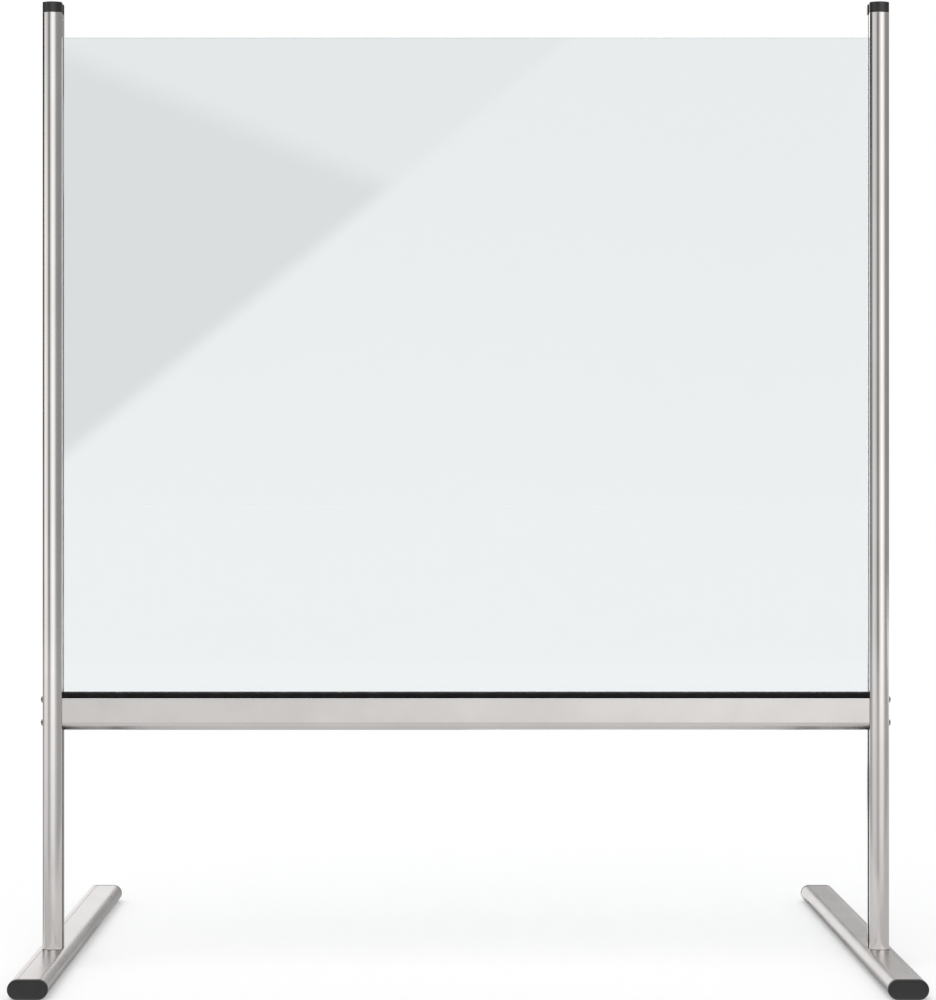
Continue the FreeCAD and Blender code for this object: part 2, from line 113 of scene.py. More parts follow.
def circle(centre: Point, radius: float) -> Loop:
    """Make a closed round loop."""
    return arc(centre, radius, 0.0, 360.0, CIRCLE_STEPS)[:-1]


def rectangle(left: float, low: float, right: float, high: float) -> Loop:
    """Make a closed rectangular loop from its least and greatest values on both axes."""
    return [(left, low), (right, low), (right, high), (left, high)]


def mirrored(line: Loop) -> Loop:
    """Mirror a line of points on the first axis, and run it the other way."""
    return [(-x, y) for x, y in reversed(line)]


def holds(loop: Loop, across: float, up: float) -> bool:
    """Tell whether a point lies inside a closed loop.

    Args:
        loop: The loop.
        across: The point's place on the first axis.
        up: The point's place on the second axis.

    Returns:
        True inside the loop.
    """
    inside = False
    for (x0, y0), (x1, y1) in zip(loop, loop[1:] + loop[:1]):
        if (y0 > up) != (y1 > up) and across < (x1 - x0) * (up - y0) / (y1 - y0) + x0:
            inside = not inside
    return inside


class Fill(Enum):
    """What a loop does to the part of a section inside it."""

    SOLID = True
    HOLLOW = False


class Run(Enum):
    """Direction in which a section is extruded."""

    ALONG_X = "x"
    ALONG_Y = "y"
    ALONG_Z = "z"

    def place(self, across: float, up: float, along: float) -> Vector:
        """Put a point of an extrusion into the row frame.

        Args:
            across: Place on the section's first axis.
            up: Place on the section's second axis.
            along: Place along the extrusion.

        Returns:
            The point, in metres.
        """
        if self is Run.ALONG_X:
            point = Vector((along, across, up))
        elif self is Run.ALONG_Y:
            point = Vector((across, along, up))
        else:
            point = Vector((across, up, along))
        return point * MILLIMETRE

    def squeezed(self, share: float) -> tuple[float, ...]:
        """Make the three scales that draw a pattern out along the run."""
        return tuple(share if axis == self.value else 1.0 for axis in "xyz")


class Side(Enum):
    """The screen's two ends, seen from the front."""

    LEFT = -1
    RIGHT = 1

    @property
    def word(self) -> str:
        """The side's name as the nodes have it."""
        return self.name.lower()


@dataclass
class Section:
    """Flat region made by filling and hollowing closed loops in order."""

    areas: list[tuple[Loop, Fill]] = field(default_factory=list)

    def solid_at(self, across: float, up: float) -> bool:
        """Tell whether the section has material at a point.

        Args:
            across: The point's place on the first axis.
            up: The point's place on the second axis.

        Returns:
            True where there is material.
        """
        filled = False
        for loop, fill in self.areas:
            if filled is not fill.value and holds(loop, across, up):
                filled = fill.value
        return filled

    def triangles(self) -> tuple[list[Vector], list[tuple[int, ...]]]:
        """Divide the material into triangles whose edges follow every loop.

        Returns:
            The flat points, and each triangle's three point numbers.
        """
        points: list[Vector] = []
        edges: list[tuple[int, int]] = []
        for loop, _ in self.areas:
            first = len(points)
            points += [Vector(point) for point in loop]
            numbers = list(range(first, len(points)))
            edges += list(zip(numbers, numbers[1:] + numbers[:1]))
        cut_points, _, faces, *_ = delaunay_2d_cdt(points, edges, [], 0, CUT_TOLERANCE)
        kept = []
        for face in faces:
            middle = sum((cut_points[number] for number in face), Vector((0.0, 0.0))) / len(face)
            if self.solid_at(middle.x, middle.y):
                kept.append(tuple(face))
        return cut_points, kept

    def shifted(self, across: float, up: float, flip: int = 1) -> "Section":
        """Move the section to another place, mirrored on the first axis if asked.

        Args:
            across: Shift on the first axis, after mirroring.
            up: Shift on the second axis.
            flip: 1 to keep the section as it is, or -1 to mirror it.

        Returns:
            The new section.
        """
        moved = [
            ([(across + flip * x, up + y) for x, y in loop], fill) for loop, fill in self.areas
        ]
        return Section(moved)


@dataclass(frozen=True)
class Extrusion:
    """Length of one section, with the cut edges at its ends eased by a small round."""

    section: Section
    run: Run
    start: float
    end: float
    ease_start: float = 0.25
    ease_end: float = 0.25
    ease_steps: int = 3

    def turned(self) -> "Extrusion":
        """Swap the two ends of the length, with their eased edges."""
        ends = (self.end, self.start, self.ease_end, self.ease_start)
        return Extrusion(self.section, self.run, *ends, self.ease_steps)

    def rings(self) -> list[Pair]:
        """List the rings of points from the first end to the last.

        Returns:
            Each ring's place along the extrusion and how far it is drawn into the material.
        """
        turns = spread(0.0, math.pi / 2, self.ease_steps)
        first = [
            (self.start + self.ease_start * (1 - math.cos(turn)), self.ease_start * (1 - math.sin(turn)))
            for turn in turns
        ]
        last = [
            (self.end - self.ease_end * (1 - math.cos(turn)), self.ease_end * (1 - math.sin(turn)))
            for turn in reversed(turns)
        ]
        return first + last

    def add_to(self, mesh: bmesh.types.BMesh) -> None:
        """Add the closed shell to a mesh.

        Args:
            mesh: The mesh that receives the shell.
        """
        points, triangles = self.section.triangles()
        directed = {(face[i], face[(i + 1) % 3]) for face in triangles for i in range(3)}
        border = [(a, b) for a, b in directed if (b, a) not in directed]
        border.sort()
        outward = self.outward_directions(points, border)
        shell = []
        for along, inset in self.rings():
            shell.append({
                number: mesh.verts.new(
                    self.run.place(*(points[number] - direction * inset), along)
                )
                for number, direction in outward.items()
            })
        for low, high in zip(shell, shell[1:]):
            for a, b in border:
                mesh.faces.new((low[a], low[b], high[b], high[a]))
        for ring, along in ((shell[0], self.start), (shell[-1], self.end)):
            corners = dict(ring)
            for face in triangles:
                for number in face:
                    if number not in corners:
                        corners[number] = mesh.verts.new(self.run.place(*points[number], along))
                mesh.faces.new([corners[number] for number in face])

    @staticmethod
    def outward_directions(
        points: Sequence[Vector], border: Iterable[tuple[int, int]]
    ) -> dict[int, Vector]:
        """Find the direction out of the material at each point of the border.

        Args:
            points: The section's flat points.
            border: Directed edges with the material on one side.

        Returns:
            Each border point's mitred outward direction.
        """
        normals: dict[int, list[Vector]] = {}
        for a, b in border:
            step = points[b] - points[a]
            normal = Vector((step.y, -step.x)).normalized()
            normals.setdefault(a, []).append(normal)
            normals.setdefault(b, []).append(normal)
        outward = {}
        for number, found in normals.items():
            middle = sum(found, Vector((0.0, 0.0))).normalized()
            outward[number] = middle / max(middle.dot(found[0]), LEAST_MITRE)
        return outward


# Node helpers
class Mixed(Enum):
    """What a Mix node mixes, with the numbers of its two inputs and of its output."""

    NUMBER = ("FLOAT", 2, 3, 0)
    COLOUR = ("RGBA", 6, 7, 2)


class NodeBench:
    """Adds and joins the nodes of one tree."""

    def __init__(self, tree: bpy.types.NodeTree) -> None:
        """Take the tree of a material, lamp, world or group to work on."""
        self.tree = tree

    def add(self, kind: str, **settings: object) -> bpy.types.Node:
        """Add a node.

        Args:
            kind: The node's type in Blender.
            settings: Properties of the node.

        Returns:
            The node.
        """
        node = self.tree.nodes.new(kind)
        for name, value in settings.items():
            setattr(node, name, value)
        return node

    def give(self, socket: Socket, value: object) -> None:
        """Join an output to an input, or set the input.

        Args:
            socket: The input.
            value: An output, or a number, vector or colour.
        """
        if isinstance(value, Socket):
            self.tree.links.new(value, socket)
        else:
            socket.default_value = value

    def feed(self, node: bpy.types.Node, *values: object) -> bpy.types.Node:
        """Give a node's inputs their values in order.

        Args:
            node: The node.
            values: Numbers, vectors or outputs.

        Returns:
            The node.
        """
        for socket, value in zip(node.inputs, values):
            self.give(socket, value)
        return node

    def math(self, operation: str, *values: float | Socket) -> Socket:
        """Add a Math node with the given inputs and hand over its output."""
        return self.feed(self.add("ShaderNodeMath", operation=operation), *values).outputs[0]

    def parts(self, vector: Socket) -> dict[str, Socket]:
        """Split a vector into its outputs X, Y and Z."""
        return self.feed(self.add("ShaderNodeSeparateXYZ"), vector).outputs

    def geometry(self, output: str) -> Socket:
        """Read one output of the Geometry node."""
        return self.add("ShaderNodeNewGeometry").outputs[output]

    def noise(self, vector: Socket, scale: float | Socket, octaves: float) -> Socket:
        """Add a noise texture.

        Args:
            vector: Where the noise is read.
            scale: Its size.
            octaves: Its detail.

        Returns:
            The noise, about one half on average.
        """
        node = self.add("ShaderNodeTexNoise")
        for name, value in (("Vector", vector), ("Scale", scale), ("Detail", octaves)):
            self.give(node.inputs[name], value)
        return node.outputs["Fac"]

    def between(
        self, value: Socket, source: Pair, low: float | Socket, high: float | Socket
    ) -> Socket:
        """Map a value smoothly from a source range to the one from low to high."""
        node = self.add("ShaderNodeMapRange", interpolation_type="SMOOTHSTEP")
        return self.feed(node, value, *source, low, high).outputs["Result"]

    def mix(self, mixed: Mixed, share: Socket, first: object, second: object) -> Socket:
        """Mix two numbers or two colours.

        Args:
            mixed: What is mixed.
            share: The second one's share.
            first: The first one.
            second: The second one.

        Returns:
            The mixture.
        """
        kind, first_input, second_input, output = mixed.value
        node = self.add("ShaderNodeMix", data_type=kind)
        for number, value in ((0, share), (first_input, first), (second_input, second)):
            self.give(node.inputs[number], value)
        return node.outputs[output]

    def group(self, tree: bpy.types.NodeTree, **values: object) -> Socket:
        """Place a node group.

        Args:
            tree: The group.
            values: Values or outputs for its inputs, by name.

        Returns:
            The group's one output.
        """
        node = self.add("ShaderNodeGroup", node_tree=tree)
        for name, value in values.items():
            self.give(node.inputs[name], value)
        return node.outputs[0]


FLOAT = "NodeSocketFloat"
VECTOR = "NodeSocketVector"
COLOUR = "NodeSocketColor"


class GroupBench(NodeBench):
    """Makes one shader node group, which puts out one result."""

    def __init__(self, name: str, output: str, kind: str, **inputs: str) -> None:
        """Start the group.

        Args:
            name: The group's name.
            output: The name of its output.
            kind: The socket type of its output.
            inputs: The socket type of each input, by name.
        """
        super().__init__(bpy.data.node_groups.new(name, "ShaderNodeTree"))
        for word, input_kind in inputs.items():
            self.tree.interface.new_socket(word, in_out="INPUT", socket_type=input_kind)
        self.tree.interface.new_socket(output, in_out="OUTPUT", socket_type=kind)
        self.given = self.add("NodeGroupInput").outputs

    def put_out(self, result: Socket) -> bpy.types.NodeTree:
        """Join the result to the group's output and hand over the group."""
        self.feed(self.add("NodeGroupOutput"), result)
        return self.tree


class SurfaceEffects:
    """Node groups that more than one finish uses."""

    line_octaves: float = 2.0
    broad_line_octaves: float = 1.0
    broad_line_scale: float = 0.23
    broad_line_height: float = 0.6
    drift_octaves: float = 4.0
    drift_range: Pair = (0.35, 0.65)
    gloss_octaves: float = 5.0
    gloss_range: Pair = (0.3, 0.7)
    speckle_octaves: float = 2.0
    speckle_height: float = 0.5
    dust_octaves: float = 6.0
    dust_scale: float = 900.0
    dust_facing: Pair = (0.55, 1.0)
    dust_spots: Pair = (0.42, 0.68)
    least_dust: float = 0.15
    dust_colour: Colour = (0.52, 0.5, 0.47)
    # Painted shade: the colour, rays and ranges of the darkening in corners and under the bar, found by
    # ambient occlusion
    shade_colour: Colour = (0.14, 0.132, 0.126)
    corner_samples: int = 6
    corner_openness: Pair = (0.15, 0.75)
    underside_samples: int = 12
    underside_openness: Pair = (0.9, 1.0)
    underside_facing: Pair = (-0.55, -0.25)

    def __init__(self) -> None:
        """Build every group once."""
        self.die_lines = self.make_die_lines()
        self.tone = self.make_tone()
        self.gloss = self.make_gloss()
        self.grain = self.make_grain()
        self.dust = self.make_dust()
        self.corners = self.make_shade("painted_corner_shade", self.corner_samples, self.corner_openness)
        self.underside = self.make_shade(
            "shaded_underside", self.underside_samples, self.underside_openness, self.underside_facing
        )

    def make_die_lines(self) -> bpy.types.NodeTree:
        """Build the fine lines that a die or a drawing plate leaves along a length.

        Returns:
            The group.
        """
        bench = GroupBench(
            "lengthways_lines", "Height", FLOAT, Vector=VECTOR, Squeeze=VECTOR, Scale=FLOAT
        )
        scale = bench.given["Scale"]
        squeeze = bench.add("ShaderNodeVectorMath", operation="MULTIPLY")
        drawn = bench.feed(squeeze, bench.given["Vector"], bench.given["Squeeze"]).outputs[0]
        fine = bench.noise(drawn, scale, self.line_octaves)
        broad_scale = bench.math("MULTIPLY", scale, self.broad_line_scale)
        broad = bench.noise(drawn, broad_scale, self.broad_line_octaves)
        return bench.put_out(bench.math("MULTIPLY_ADD", broad, self.broad_line_height, fine))

    def make_tone(self) -> bpy.types.NodeTree:
        """Build the slow drift between two close colours over a surface.

        Returns:
            The group.
        """
        bench = GroupBench(
            "colour_drift", "Colour", COLOUR, Vector=VECTOR, Scale=FLOAT, First=COLOUR, Second=COLOUR
        )
        cloud = bench.noise(bench.given["Vector"], bench.given["Scale"], self.drift_octaves)
        share = bench.between(cloud, self.drift_range, 0.0, 1.0)
        return bench.put_out(
            bench.mix(Mixed.COLOUR, share, bench.given["First"], bench.given["Second"])
        )

    def make_gloss(self) -> bpy.types.NodeTree:
        """Build the uneven gloss that handling and wiping leave.

        Returns:
            The group.
        """
        bench = GroupBench(
            "uneven_gloss", "Roughness", FLOAT, Vector=VECTOR, Scale=FLOAT, Low=FLOAT, High=FLOAT
        )
        cloud = bench.noise(bench.given["Vector"], bench.given["Scale"], self.gloss_octaves)
        return bench.put_out(
            bench.between(cloud, self.gloss_range, bench.given["Low"], bench.given["High"])
        )

    def make_grain(self) -> bpy.types.NodeTree:
        """Build the fine pebbled grain of a moulded or extruded soft surface.

        Returns:
            The group.
        """
        bench = GroupBench("pebbled_grain", "Height", FLOAT, Vector=VECTOR, Scale=FLOAT)
        cells = bench.add("ShaderNodeTexVoronoi", feature="SMOOTH_F1")
        for name in ("Vector", "Scale"):
            bench.give(cells.inputs[name], bench.given[name])
        speckle = bench.noise(bench.given["Vector"], bench.given["Scale"], self.speckle_octaves)
        return bench.put_out(
            bench.math("MULTIPLY_ADD", speckle, self.speckle_height, cells.outputs["Distance"])
        )

    def make_dust(self) -> bpy.types.NodeTree:
        """Build the thin dust that settles on faces that look up.

        Returns:
            The group.
        """
        bench = GroupBench(
            "settled_dust", "Colour", COLOUR, Vector=VECTOR, Under=COLOUR, Amount=FLOAT
        )
        upward = bench.parts(bench.geometry("Normal"))["Z"]
        facing = bench.between(upward, self.dust_facing, 0.0, 1.0)
        specks = bench.noise(bench.given["Vector"], self.dust_scale, self.dust_octaves)
        spotted = bench.between(specks, self.dust_spots, self.least_dust, 1.0)
        covered = bench.math("MULTIPLY", facing, spotted)
        amount = bench.math("MULTIPLY", covered, bench.given["Amount"])
        dust = (*self.dust_colour, 1.0)
        return bench.put_out(bench.mix(Mixed.COLOUR, amount, bench.given["Under"], dust))

    def make_shade(
        self, name: str, samples: int, openness: Pair, facing: Pair | None = None
    ) -> bpy.types.NodeTree:
        """Build painted shade: a dark colour mixed into a tone where ambient occlusion finds other pieces
        close.

        Args:
            name: The group's name.
            samples: Number of rays that look for other pieces.
            openness: Shares of free rays at which the dark is full and gone.
            facing: The normal's Z at which the dark is full and gone, or None for every face.

        Returns:
            The group.
        """
        bench = GroupBench(name, "Colour", COLOUR, Under=COLOUR, Reach=FLOAT)
        nearness = bench.add("ShaderNodeAmbientOcclusion", samples=samples)
        bench.give(nearness.inputs["Distance"], bench.given["Reach"])
        lit = bench.between(nearness.outputs["AO"], openness, 0.0, 1.0)
        if facing:
            upward = bench.parts(bench.geometry("Normal"))["Z"]
            lit = bench.between(upward, facing, lit, 1.0)
        shade = (*self.shade_colour, 1.0)
        return bench.put_out(bench.mix(Mixed.COLOUR, lit, shade, bench.given["Under"]))


# Finishes
class SurfaceBench(NodeBench):
    """Makes one material round its Principled shader."""

    def __init__(self, name: str, effects: SurfaceEffects) -> None:
        """Start the material.

        Args:
            name: The material's name.
            effects: The shared node groups.
        """
        self.material = bpy.data.materials.new(name)
        self.material.use_nodes = True
        super().__init__(self.material.node_tree)
        self.effects = effects
        self.shader = self.tree.nodes["Principled BSDF"]
        self.place = self.add("ShaderNodeTexCoord").outputs["Object"]

    def put(self, name: str, value: object) -> None:
        """Set one of the shader's inputs, or join an output to it."""
        self.give(self.shader.inputs[name], value)

    def lines(self, run: Run, squeeze: float, scale: float) -> Socket:
        """Make lines along a length.

        Args:
            run: The direction of the length.
            squeeze: How far the pattern is drawn out along it.
            scale: Size of the pattern.

        Returns:
            Their height.
        """
        return self.group(
            self.effects.die_lines, Vector=self.place, Squeeze=run.squeezed(squeeze), Scale=scale
        )

    def grain(self, scale: float) -> Socket:
        """Make a pebbled grain of the given scale and hand over its height."""
        return self.group(self.effects.grain, Vector=self.place, Scale=scale)

    def dusty(self, tone: Socket, amount: float) -> Socket:
        """Lay dust over a tone and hand over the colour."""
        return self.group(self.effects.dust, Vector=self.place, Under=tone, Amount=amount)


@dataclass(frozen=True, kw_only=True)
class Finish(ABC):
    """A surface finish: a drifting tone, an uneven gloss and a relief."""

    light: Colour
    dark: Colour
    tone_scale: float
    rough: Pair
    rough_scale: float
    relief_strength: float
    relief_depth: float

    def make(self, name: str, effects: SurfaceEffects) -> bpy.types.Material:
        """Make the finish into a material.

        Args:
            name: The material's name.
            effects: The shared node groups.

        Returns:
            The material.
        """
        surface = SurfaceBench(name, effects)
        tone = surface.group(
            effects.tone,
            Vector=surface.place,
            Scale=self.tone_scale,
            First=(*self.light, 1.0),
            Second=(*self.dark, 1.0),
        )
        surface.put("Base Color", self.cover(surface, tone))
        least, most = self.rough
        gloss = surface.group(
            effects.gloss, Vector=surface.place, Scale=self.rough_scale, Low=least, High=most
        )
        surface.put("Roughness", gloss)
        bump = surface.add("ShaderNodeBump")
        surface.give(bump.inputs["Strength"], self.relief_strength)
        surface.give(bump.inputs["Distance"], self.relief_depth)
        surface.give(bump.inputs["Height"], self.relief(surface))
        surface.put("Normal", bump.outputs["Normal"])
        self.set_body(surface)
        return surface.material

    def cover(self, surface: SurfaceBench, tone: Socket) -> Socket:
        """Lay dust or painted shade over the tone, which stays bare unless a finish says otherwise."""
        return tone

    @abstractmethod
    def relief(self, surface: SurfaceBench) -> Socket:
        """Make the height of the relief."""

    @abstractmethod
    def set_body(self, surface: SurfaceBench) -> None:
        """Set what the material is made of."""


@dataclass(frozen=True, kw_only=True)
class AnodisedAluminium(Finish):
    """Silver anodised extrusion with fine lines along its length."""

    run: Run
    light: Colour = (0.76, 0.735, 0.72)
    dark: Colour = (0.72, 0.695, 0.68)
    tone_scale: float = 9.0
    rough: Pair = (0.12, 0.16)
    rough_scale: float = 24.0
    relief_strength: float = 0.5
    relief_depth: float = 0.000008
    line_squeeze: float = 0.004
    line_scale: float = 1400.0
    # Reaches of the painted shade in corners and under the piece, in metres
    corner_reach: float = 0.002
    underside_reach: float = 0.0

    def cover(self, surface: SurfaceBench, tone: Socket) -> Socket:
        """Paint shade into the tone in corners, and under the piece if it has a reach there.

        Args:
            surface: The material that is made.
            tone: The bare tone.

        Returns:
            The shaded colour.
        """
        corner_shaded_tone = surface.group(surface.effects.corners, Under=tone, Reach=self.corner_reach)
        if not self.underside_reach:
            return corner_shaded_tone
        return surface.group(surface.effects.underside, Under=corner_shaded_tone, Reach=self.underside_reach)

    def relief(self, surface: SurfaceBench) -> Socket:
        """Draw the die lines."""
        return surface.lines(self.run, self.line_squeeze, self.line_scale)

    def set_body(self, surface: SurfaceBench) -> None:
        """Make it metal."""
        surface.put("Metallic", 1.0)


@dataclass(frozen=True, kw_only=True)
class MouldedPlastic(Finish):
    """Black moulded plastic with a fine satin grain."""

    light: Colour = (0.003, 0.003, 0.003)
    dark: Colour = (0.005, 0.0049, 0.0048)
    tone_scale: float = 140.0
    rough: Pair = (0.28, 0.36)
    rough_scale: float = 60.0
    relief_strength: float = 0.35
    relief_depth: float = 0.00004
    grain_scale: float = 2600.0
    dust: float = 0.01
    specular: float = 0.78

    def cover(self, surface: SurfaceBench, tone: Socket) -> Socket:
        """Dust the tone."""
        return surface.dusty(tone, self.dust)

    def relief(self, surface: SurfaceBench) -> Socket:
        """Make the moulded grain."""
        return surface.grain(self.grain_scale)

    def set_body(self, surface: SurfaceBench) -> None:
        """Set the shine of the plastic."""
        surface.put("Specular IOR Level", self.specular)


@dataclass(frozen=True, kw_only=True)
class BlackRubber(MouldedPlastic):
    """Matt black extruded rubber with faint lines along its length."""

    light: Colour = (0.005, 0.005, 0.005)
    dark: Colour = (0.009, 0.009, 0.0088)
    tone_scale: float = 70.0
    rough: Pair = (0.42, 0.55)
    rough_scale: float = 80.0
    relief_strength: float = 0.4
    relief_depth: float = 0.00005
    grain_scale: float = 1900.0
    dust: float = 0.05
    specular: float = 0.25
    line_squeeze: float = 0.02
    line_scale: float = 1100.0

    def relief(self, surface: SurfaceBench) -> Socket:
        """Add the extruded lines to the grain."""
        lines = surface.lines(Run.ALONG_X, self.line_squeeze, self.line_scale)
        return surface.math("ADD", lines, surface.grain(self.grain_scale))


@dataclass(frozen=True, kw_only=True)
class ZincSteel(Finish):
    """Bright zinc-plated steel of the screws and clamp plates."""

    light: Colour = (0.36, 0.355, 0.35)
    dark: Colour = (0.28, 0.28, 0.28)
    tone_scale: float = 420.0
    rough: Pair = (0.2, 0.36)
    rough_scale: float = 500.0
    relief_strength: float = 0.15
    relief_depth: float = 0.00003
    grain_scale: float = 1800.0

    def relief(self, surface: SurfaceBench) -> Socket:
        """Make the fine grain of the plating."""
        return surface.grain(self.grain_scale)

    def set_body(self, surface: SurfaceBench) -> None:
        """Make it metal."""
        surface.put("Metallic", 1.0)


@dataclass(frozen=True, kw_only=True)
class ClearPlastic(Finish):
    """Clear or milky plastic that lets lamps shine through to what is behind it."""

    tone_scale: float = 2.0
    rough_scale: float = 14.0
    relief_depth: float = 0.001
    swell_scale: float = 5.0
    swell_octaves: float = 1.0
    index: float
    clarity: float = 1.0

    def relief(self, surface: SurfaceBench) -> Socket:
        """Make the slow swell of the sheet."""
        return surface.noise(surface.place, self.swell_scale, self.swell_octaves)

    def set_body(self, surface: SurfaceBench) -> None:
        """Make it clear, and clear to shadow rays in its own colour.

        Args:
            surface: The material that is made.
        """
        surface.put("Transmission Weight", self.clarity)
        surface.put("IOR", self.index)
        rays = surface.add("ShaderNodeLightPath")
        passing = surface.feed(surface.add("ShaderNodeBsdfTransparent"), (*self.light, 1.0))
        mix = surface.feed(
            surface.add("ShaderNodeMixShader"),
            rays.outputs["Is Shadow Ray"],
            surface.shader.outputs[0],
            passing.outputs[0],
        )
        surface.give(surface.tree.nodes["Material Output"].inputs["Surface"], mix.outputs[0])


class FinishBook:
    """Every material of the screen, made once."""

    def __init__(self) -> None:
        """Build the shared effects and the materials that use them."""
        effects = SurfaceEffects()
        # Each aluminium finish mixes painted shade into its colour near other pieces, and the bar's also on
        # its underside
        self.post_aluminium = AnodisedAluminium(run=Run.ALONG_Z).make("post_aluminium", effects)
        self.bar_aluminium = AnodisedAluminium(
            run=Run.ALONG_X, rough=(0.19, 0.24), corner_reach=0.0015, underside_reach=0.2
        ).make("bar_aluminium", effects)
        self.foot_aluminium = AnodisedAluminium(
            run=Run.ALONG_Y, rough=(0.26, 0.33), corner_reach=0.012
        ).make("foot_aluminium", effects)
        self.plastic = MouldedPlastic().make("moulded_plastic", effects)
        self.rubber = BlackRubber().make("strip_rubber", effects)
        self.steel = ZincSteel().make("zinc_steel", effects)
        self.acrylic = ClearPlastic(
            light=(0.726, 0.755, 0.765),
            dark=(0.721, 0.752, 0.763),
            index=1.49,
            rough=(0.0, 0.004),
            relief_strength=0.004,
        ).make("pane_acrylic", effects)
        self.vinyl = ClearPlastic(
            light=(0.93, 0.94, 0.93),
            dark=(0.9, 0.91, 0.89),
            index=1.53,
            rough=(0.0, 0.03),
            relief_strength=0.02,
            clarity=0.35,
        ).make("channel_vinyl", effects)


# Pieces
def new_object(name: str, data: bpy.types.ID) -> bpy.types.Object:
    """Put an object into the scene.

    Args:
        name: The object's name.
        data: The mesh, lamp or camera that it shows.

    Returns:
        The object.
    """
    shown = bpy.data.objects.new(name, data)
    bpy.context.scene.collection.objects.link(shown)
    return shown


def shell_mesh(name: str, shells: Sequence["Extrusion | SocketScrew"]) -> bpy.types.Mesh:
    """Make one mesh from closed shells.

    Args:
        name: The mesh's name.
        shells: The closed forms that make it up.

    Returns:
        The mesh.
    """
    surface = bmesh.new()
    for shell in shells:
        shell.add_to(surface)
    bmesh.ops.recalc_face_normals(surface, faces=surface.faces)
    mesh = bpy.data.meshes.new(name)
    surface.to_mesh(mesh)
    surface.free()
    return mesh


@dataclass
class Assembly(ABC):
    """Pieces that are made, finished and carried together."""

    finishes: FinishBook
    frame_nodes: dict[str, bpy.types.Object]
    pieces: list[bpy.types.Object] = field(default_factory=list)

    @abstractmethod
    def build(self) -> None:
        """Make the pieces of the assembly and dress them."""

    def add_piece(
        self,
        name: str,
        shells: Sequence["Extrusion | SocketScrew"],
        finish: bpy.types.Material,
        slot: str,
        nodes: Sequence[str],
        body: str = FRAME_BODY,
    ) -> bpy.types.Object:
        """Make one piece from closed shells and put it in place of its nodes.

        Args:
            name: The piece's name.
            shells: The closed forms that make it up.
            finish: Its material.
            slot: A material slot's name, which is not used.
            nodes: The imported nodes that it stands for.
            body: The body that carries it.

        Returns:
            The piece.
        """
        piece = new_object(name, shell_mesh(name, shells))
        self.smooth(piece)
        piece.data.materials.append(finish)
        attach(piece, body)
        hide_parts(*nodes)
        self.pieces.append(piece)
        LOG.info("%s: %d faces, stands for %s", name, len(piece.data.polygons), ", ".join(nodes))
        return piece

    @staticmethod
    def smooth(piece: bpy.types.Object) -> None:
        """Shade a piece smooth, with its flats kept flat.

        Args:
            piece: The piece.
        """
        mesh = piece.data
        mesh.polygons.foreach_set("use_smooth", [True] * len(mesh.polygons))
        mesh.set_sharp_from_angle(angle=SHARP_ANGLE)
        weighted = piece.modifiers.new("flat_faces", "WEIGHTED_NORMAL")
        weighted.keep_sharp = True

    def dress_node(self, name: str, finish: bpy.types.Material) -> None:
        """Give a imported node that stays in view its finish.

        Args:
            name: The node's name.
            finish: Its material.
        """
        node = self.frame_nodes[name]
        for slot in node.material_slots:
            slot.material = finish
        self.pieces.append(node)
        LOG.info("%s: packed mesh kept, dressed in %s", name, finish.name)


@dataclass(frozen=True)
class SocketScrew:
    """Button-head screw with a hexagon socket, turned about its own axis."""

    thick: float
    long: float
    head: float
    head_high: float
    head_rim: float
    socket: float
    socket_deep: float
    tip: float = 0.6
    rim_ease: float = 0.12
    mouth_ease: float = 0.18
    drill_cone: float = 0.5
    dome_steps: int = 10
    seat: Place = (0.0, 0.0, 0.0)
    axis: Place = (0.0, 0.0, 1.0)

    def dome_radius(self) -> float:
        """Radius of the arc that makes the head's crown."""
        rise = self.head_high - self.head_rim
        return ((self.head / 2) ** 2 + rise**2) / (2 * rise)

    def crown(self, radius: float) -> float:
        """Find the crown's height over the seat at a distance from the screw's axis."""
        curve = self.dome_radius()
        return self.head_high - curve + math.sqrt(curve**2 - radius**2)

    def profile(self) -> list[tuple[float, float, bool]]:
        """List the rings from the tip to the socket's floor.

        Returns:
            Each ring's place along the axis, its radius, and whether it is a hexagon.
        """
        rim = self.head / 2
        shank = self.thick / 2
        mouth = self.socket / math.sqrt(3) + self.mouth_ease
        rings = [
            (self.long, shank - self.tip, False),
            (self.long - self.tip, shank, False),
            (0.0, shank, False),
            (0.0, rim - self.rim_ease, False),
            (-self.rim_ease, rim, False),
            (-self.crown(rim) + self.rim_ease / 2, rim, False),
        ]
        for radius in spread(rim - self.rim_ease, mouth, self.dome_steps):
            rings.append((-self.crown(radius), radius, False))
        floor = self.socket_deep - self.head_high
        rings.append((-self.crown(mouth) + self.mouth_ease, self.socket / 2, True))
        rings.append((floor, self.socket / 2, True))
        return rings

    def add_to(self, mesh: bmesh.types.BMesh) -> None:
        """Add the closed shell to a mesh.

        Args:
            mesh: The mesh that receives the shell.
        """
        seat, axis = Vector(self.seat), Vector(self.axis)
        first = axis.orthogonal().normalized()
        second = axis.cross(first)
        turns = spread(0.0, 2 * math.pi, SCREW_STEPS)[:-1]
        sector = 2 * math.pi / HEX_SIDES
        rings = []
        for along, radius, is_hexagon in self.profile():
            ring = []
            for turn in turns:
                reach = radius / math.cos(turn % sector - sector / 2) if is_hexagon else radius
                spot = first * (reach * math.cos(turn)) + second * (reach * math.sin(turn))
                ring.append(mesh.verts.new((seat + axis * along + spot) * MILLIMETRE))
            rings.append(ring)
        for low, high in zip(rings, rings[1:]):
            for i in range(SCREW_STEPS):
                j = (i + 1) % SCREW_STEPS
                mesh.faces.new((low[i], low[j], high[j], high[i]))
        floor = self.socket_deep - self.head_high + self.drill_cone
        for ring, along in ((rings[0], self.long), (rings[-1], floor)):
            middle = mesh.verts.new((seat + axis * along) * MILLIMETRE)
            for i in range(SCREW_STEPS):
                mesh.faces.new((ring[i], ring[(i + 1) % SCREW_STEPS], middle))


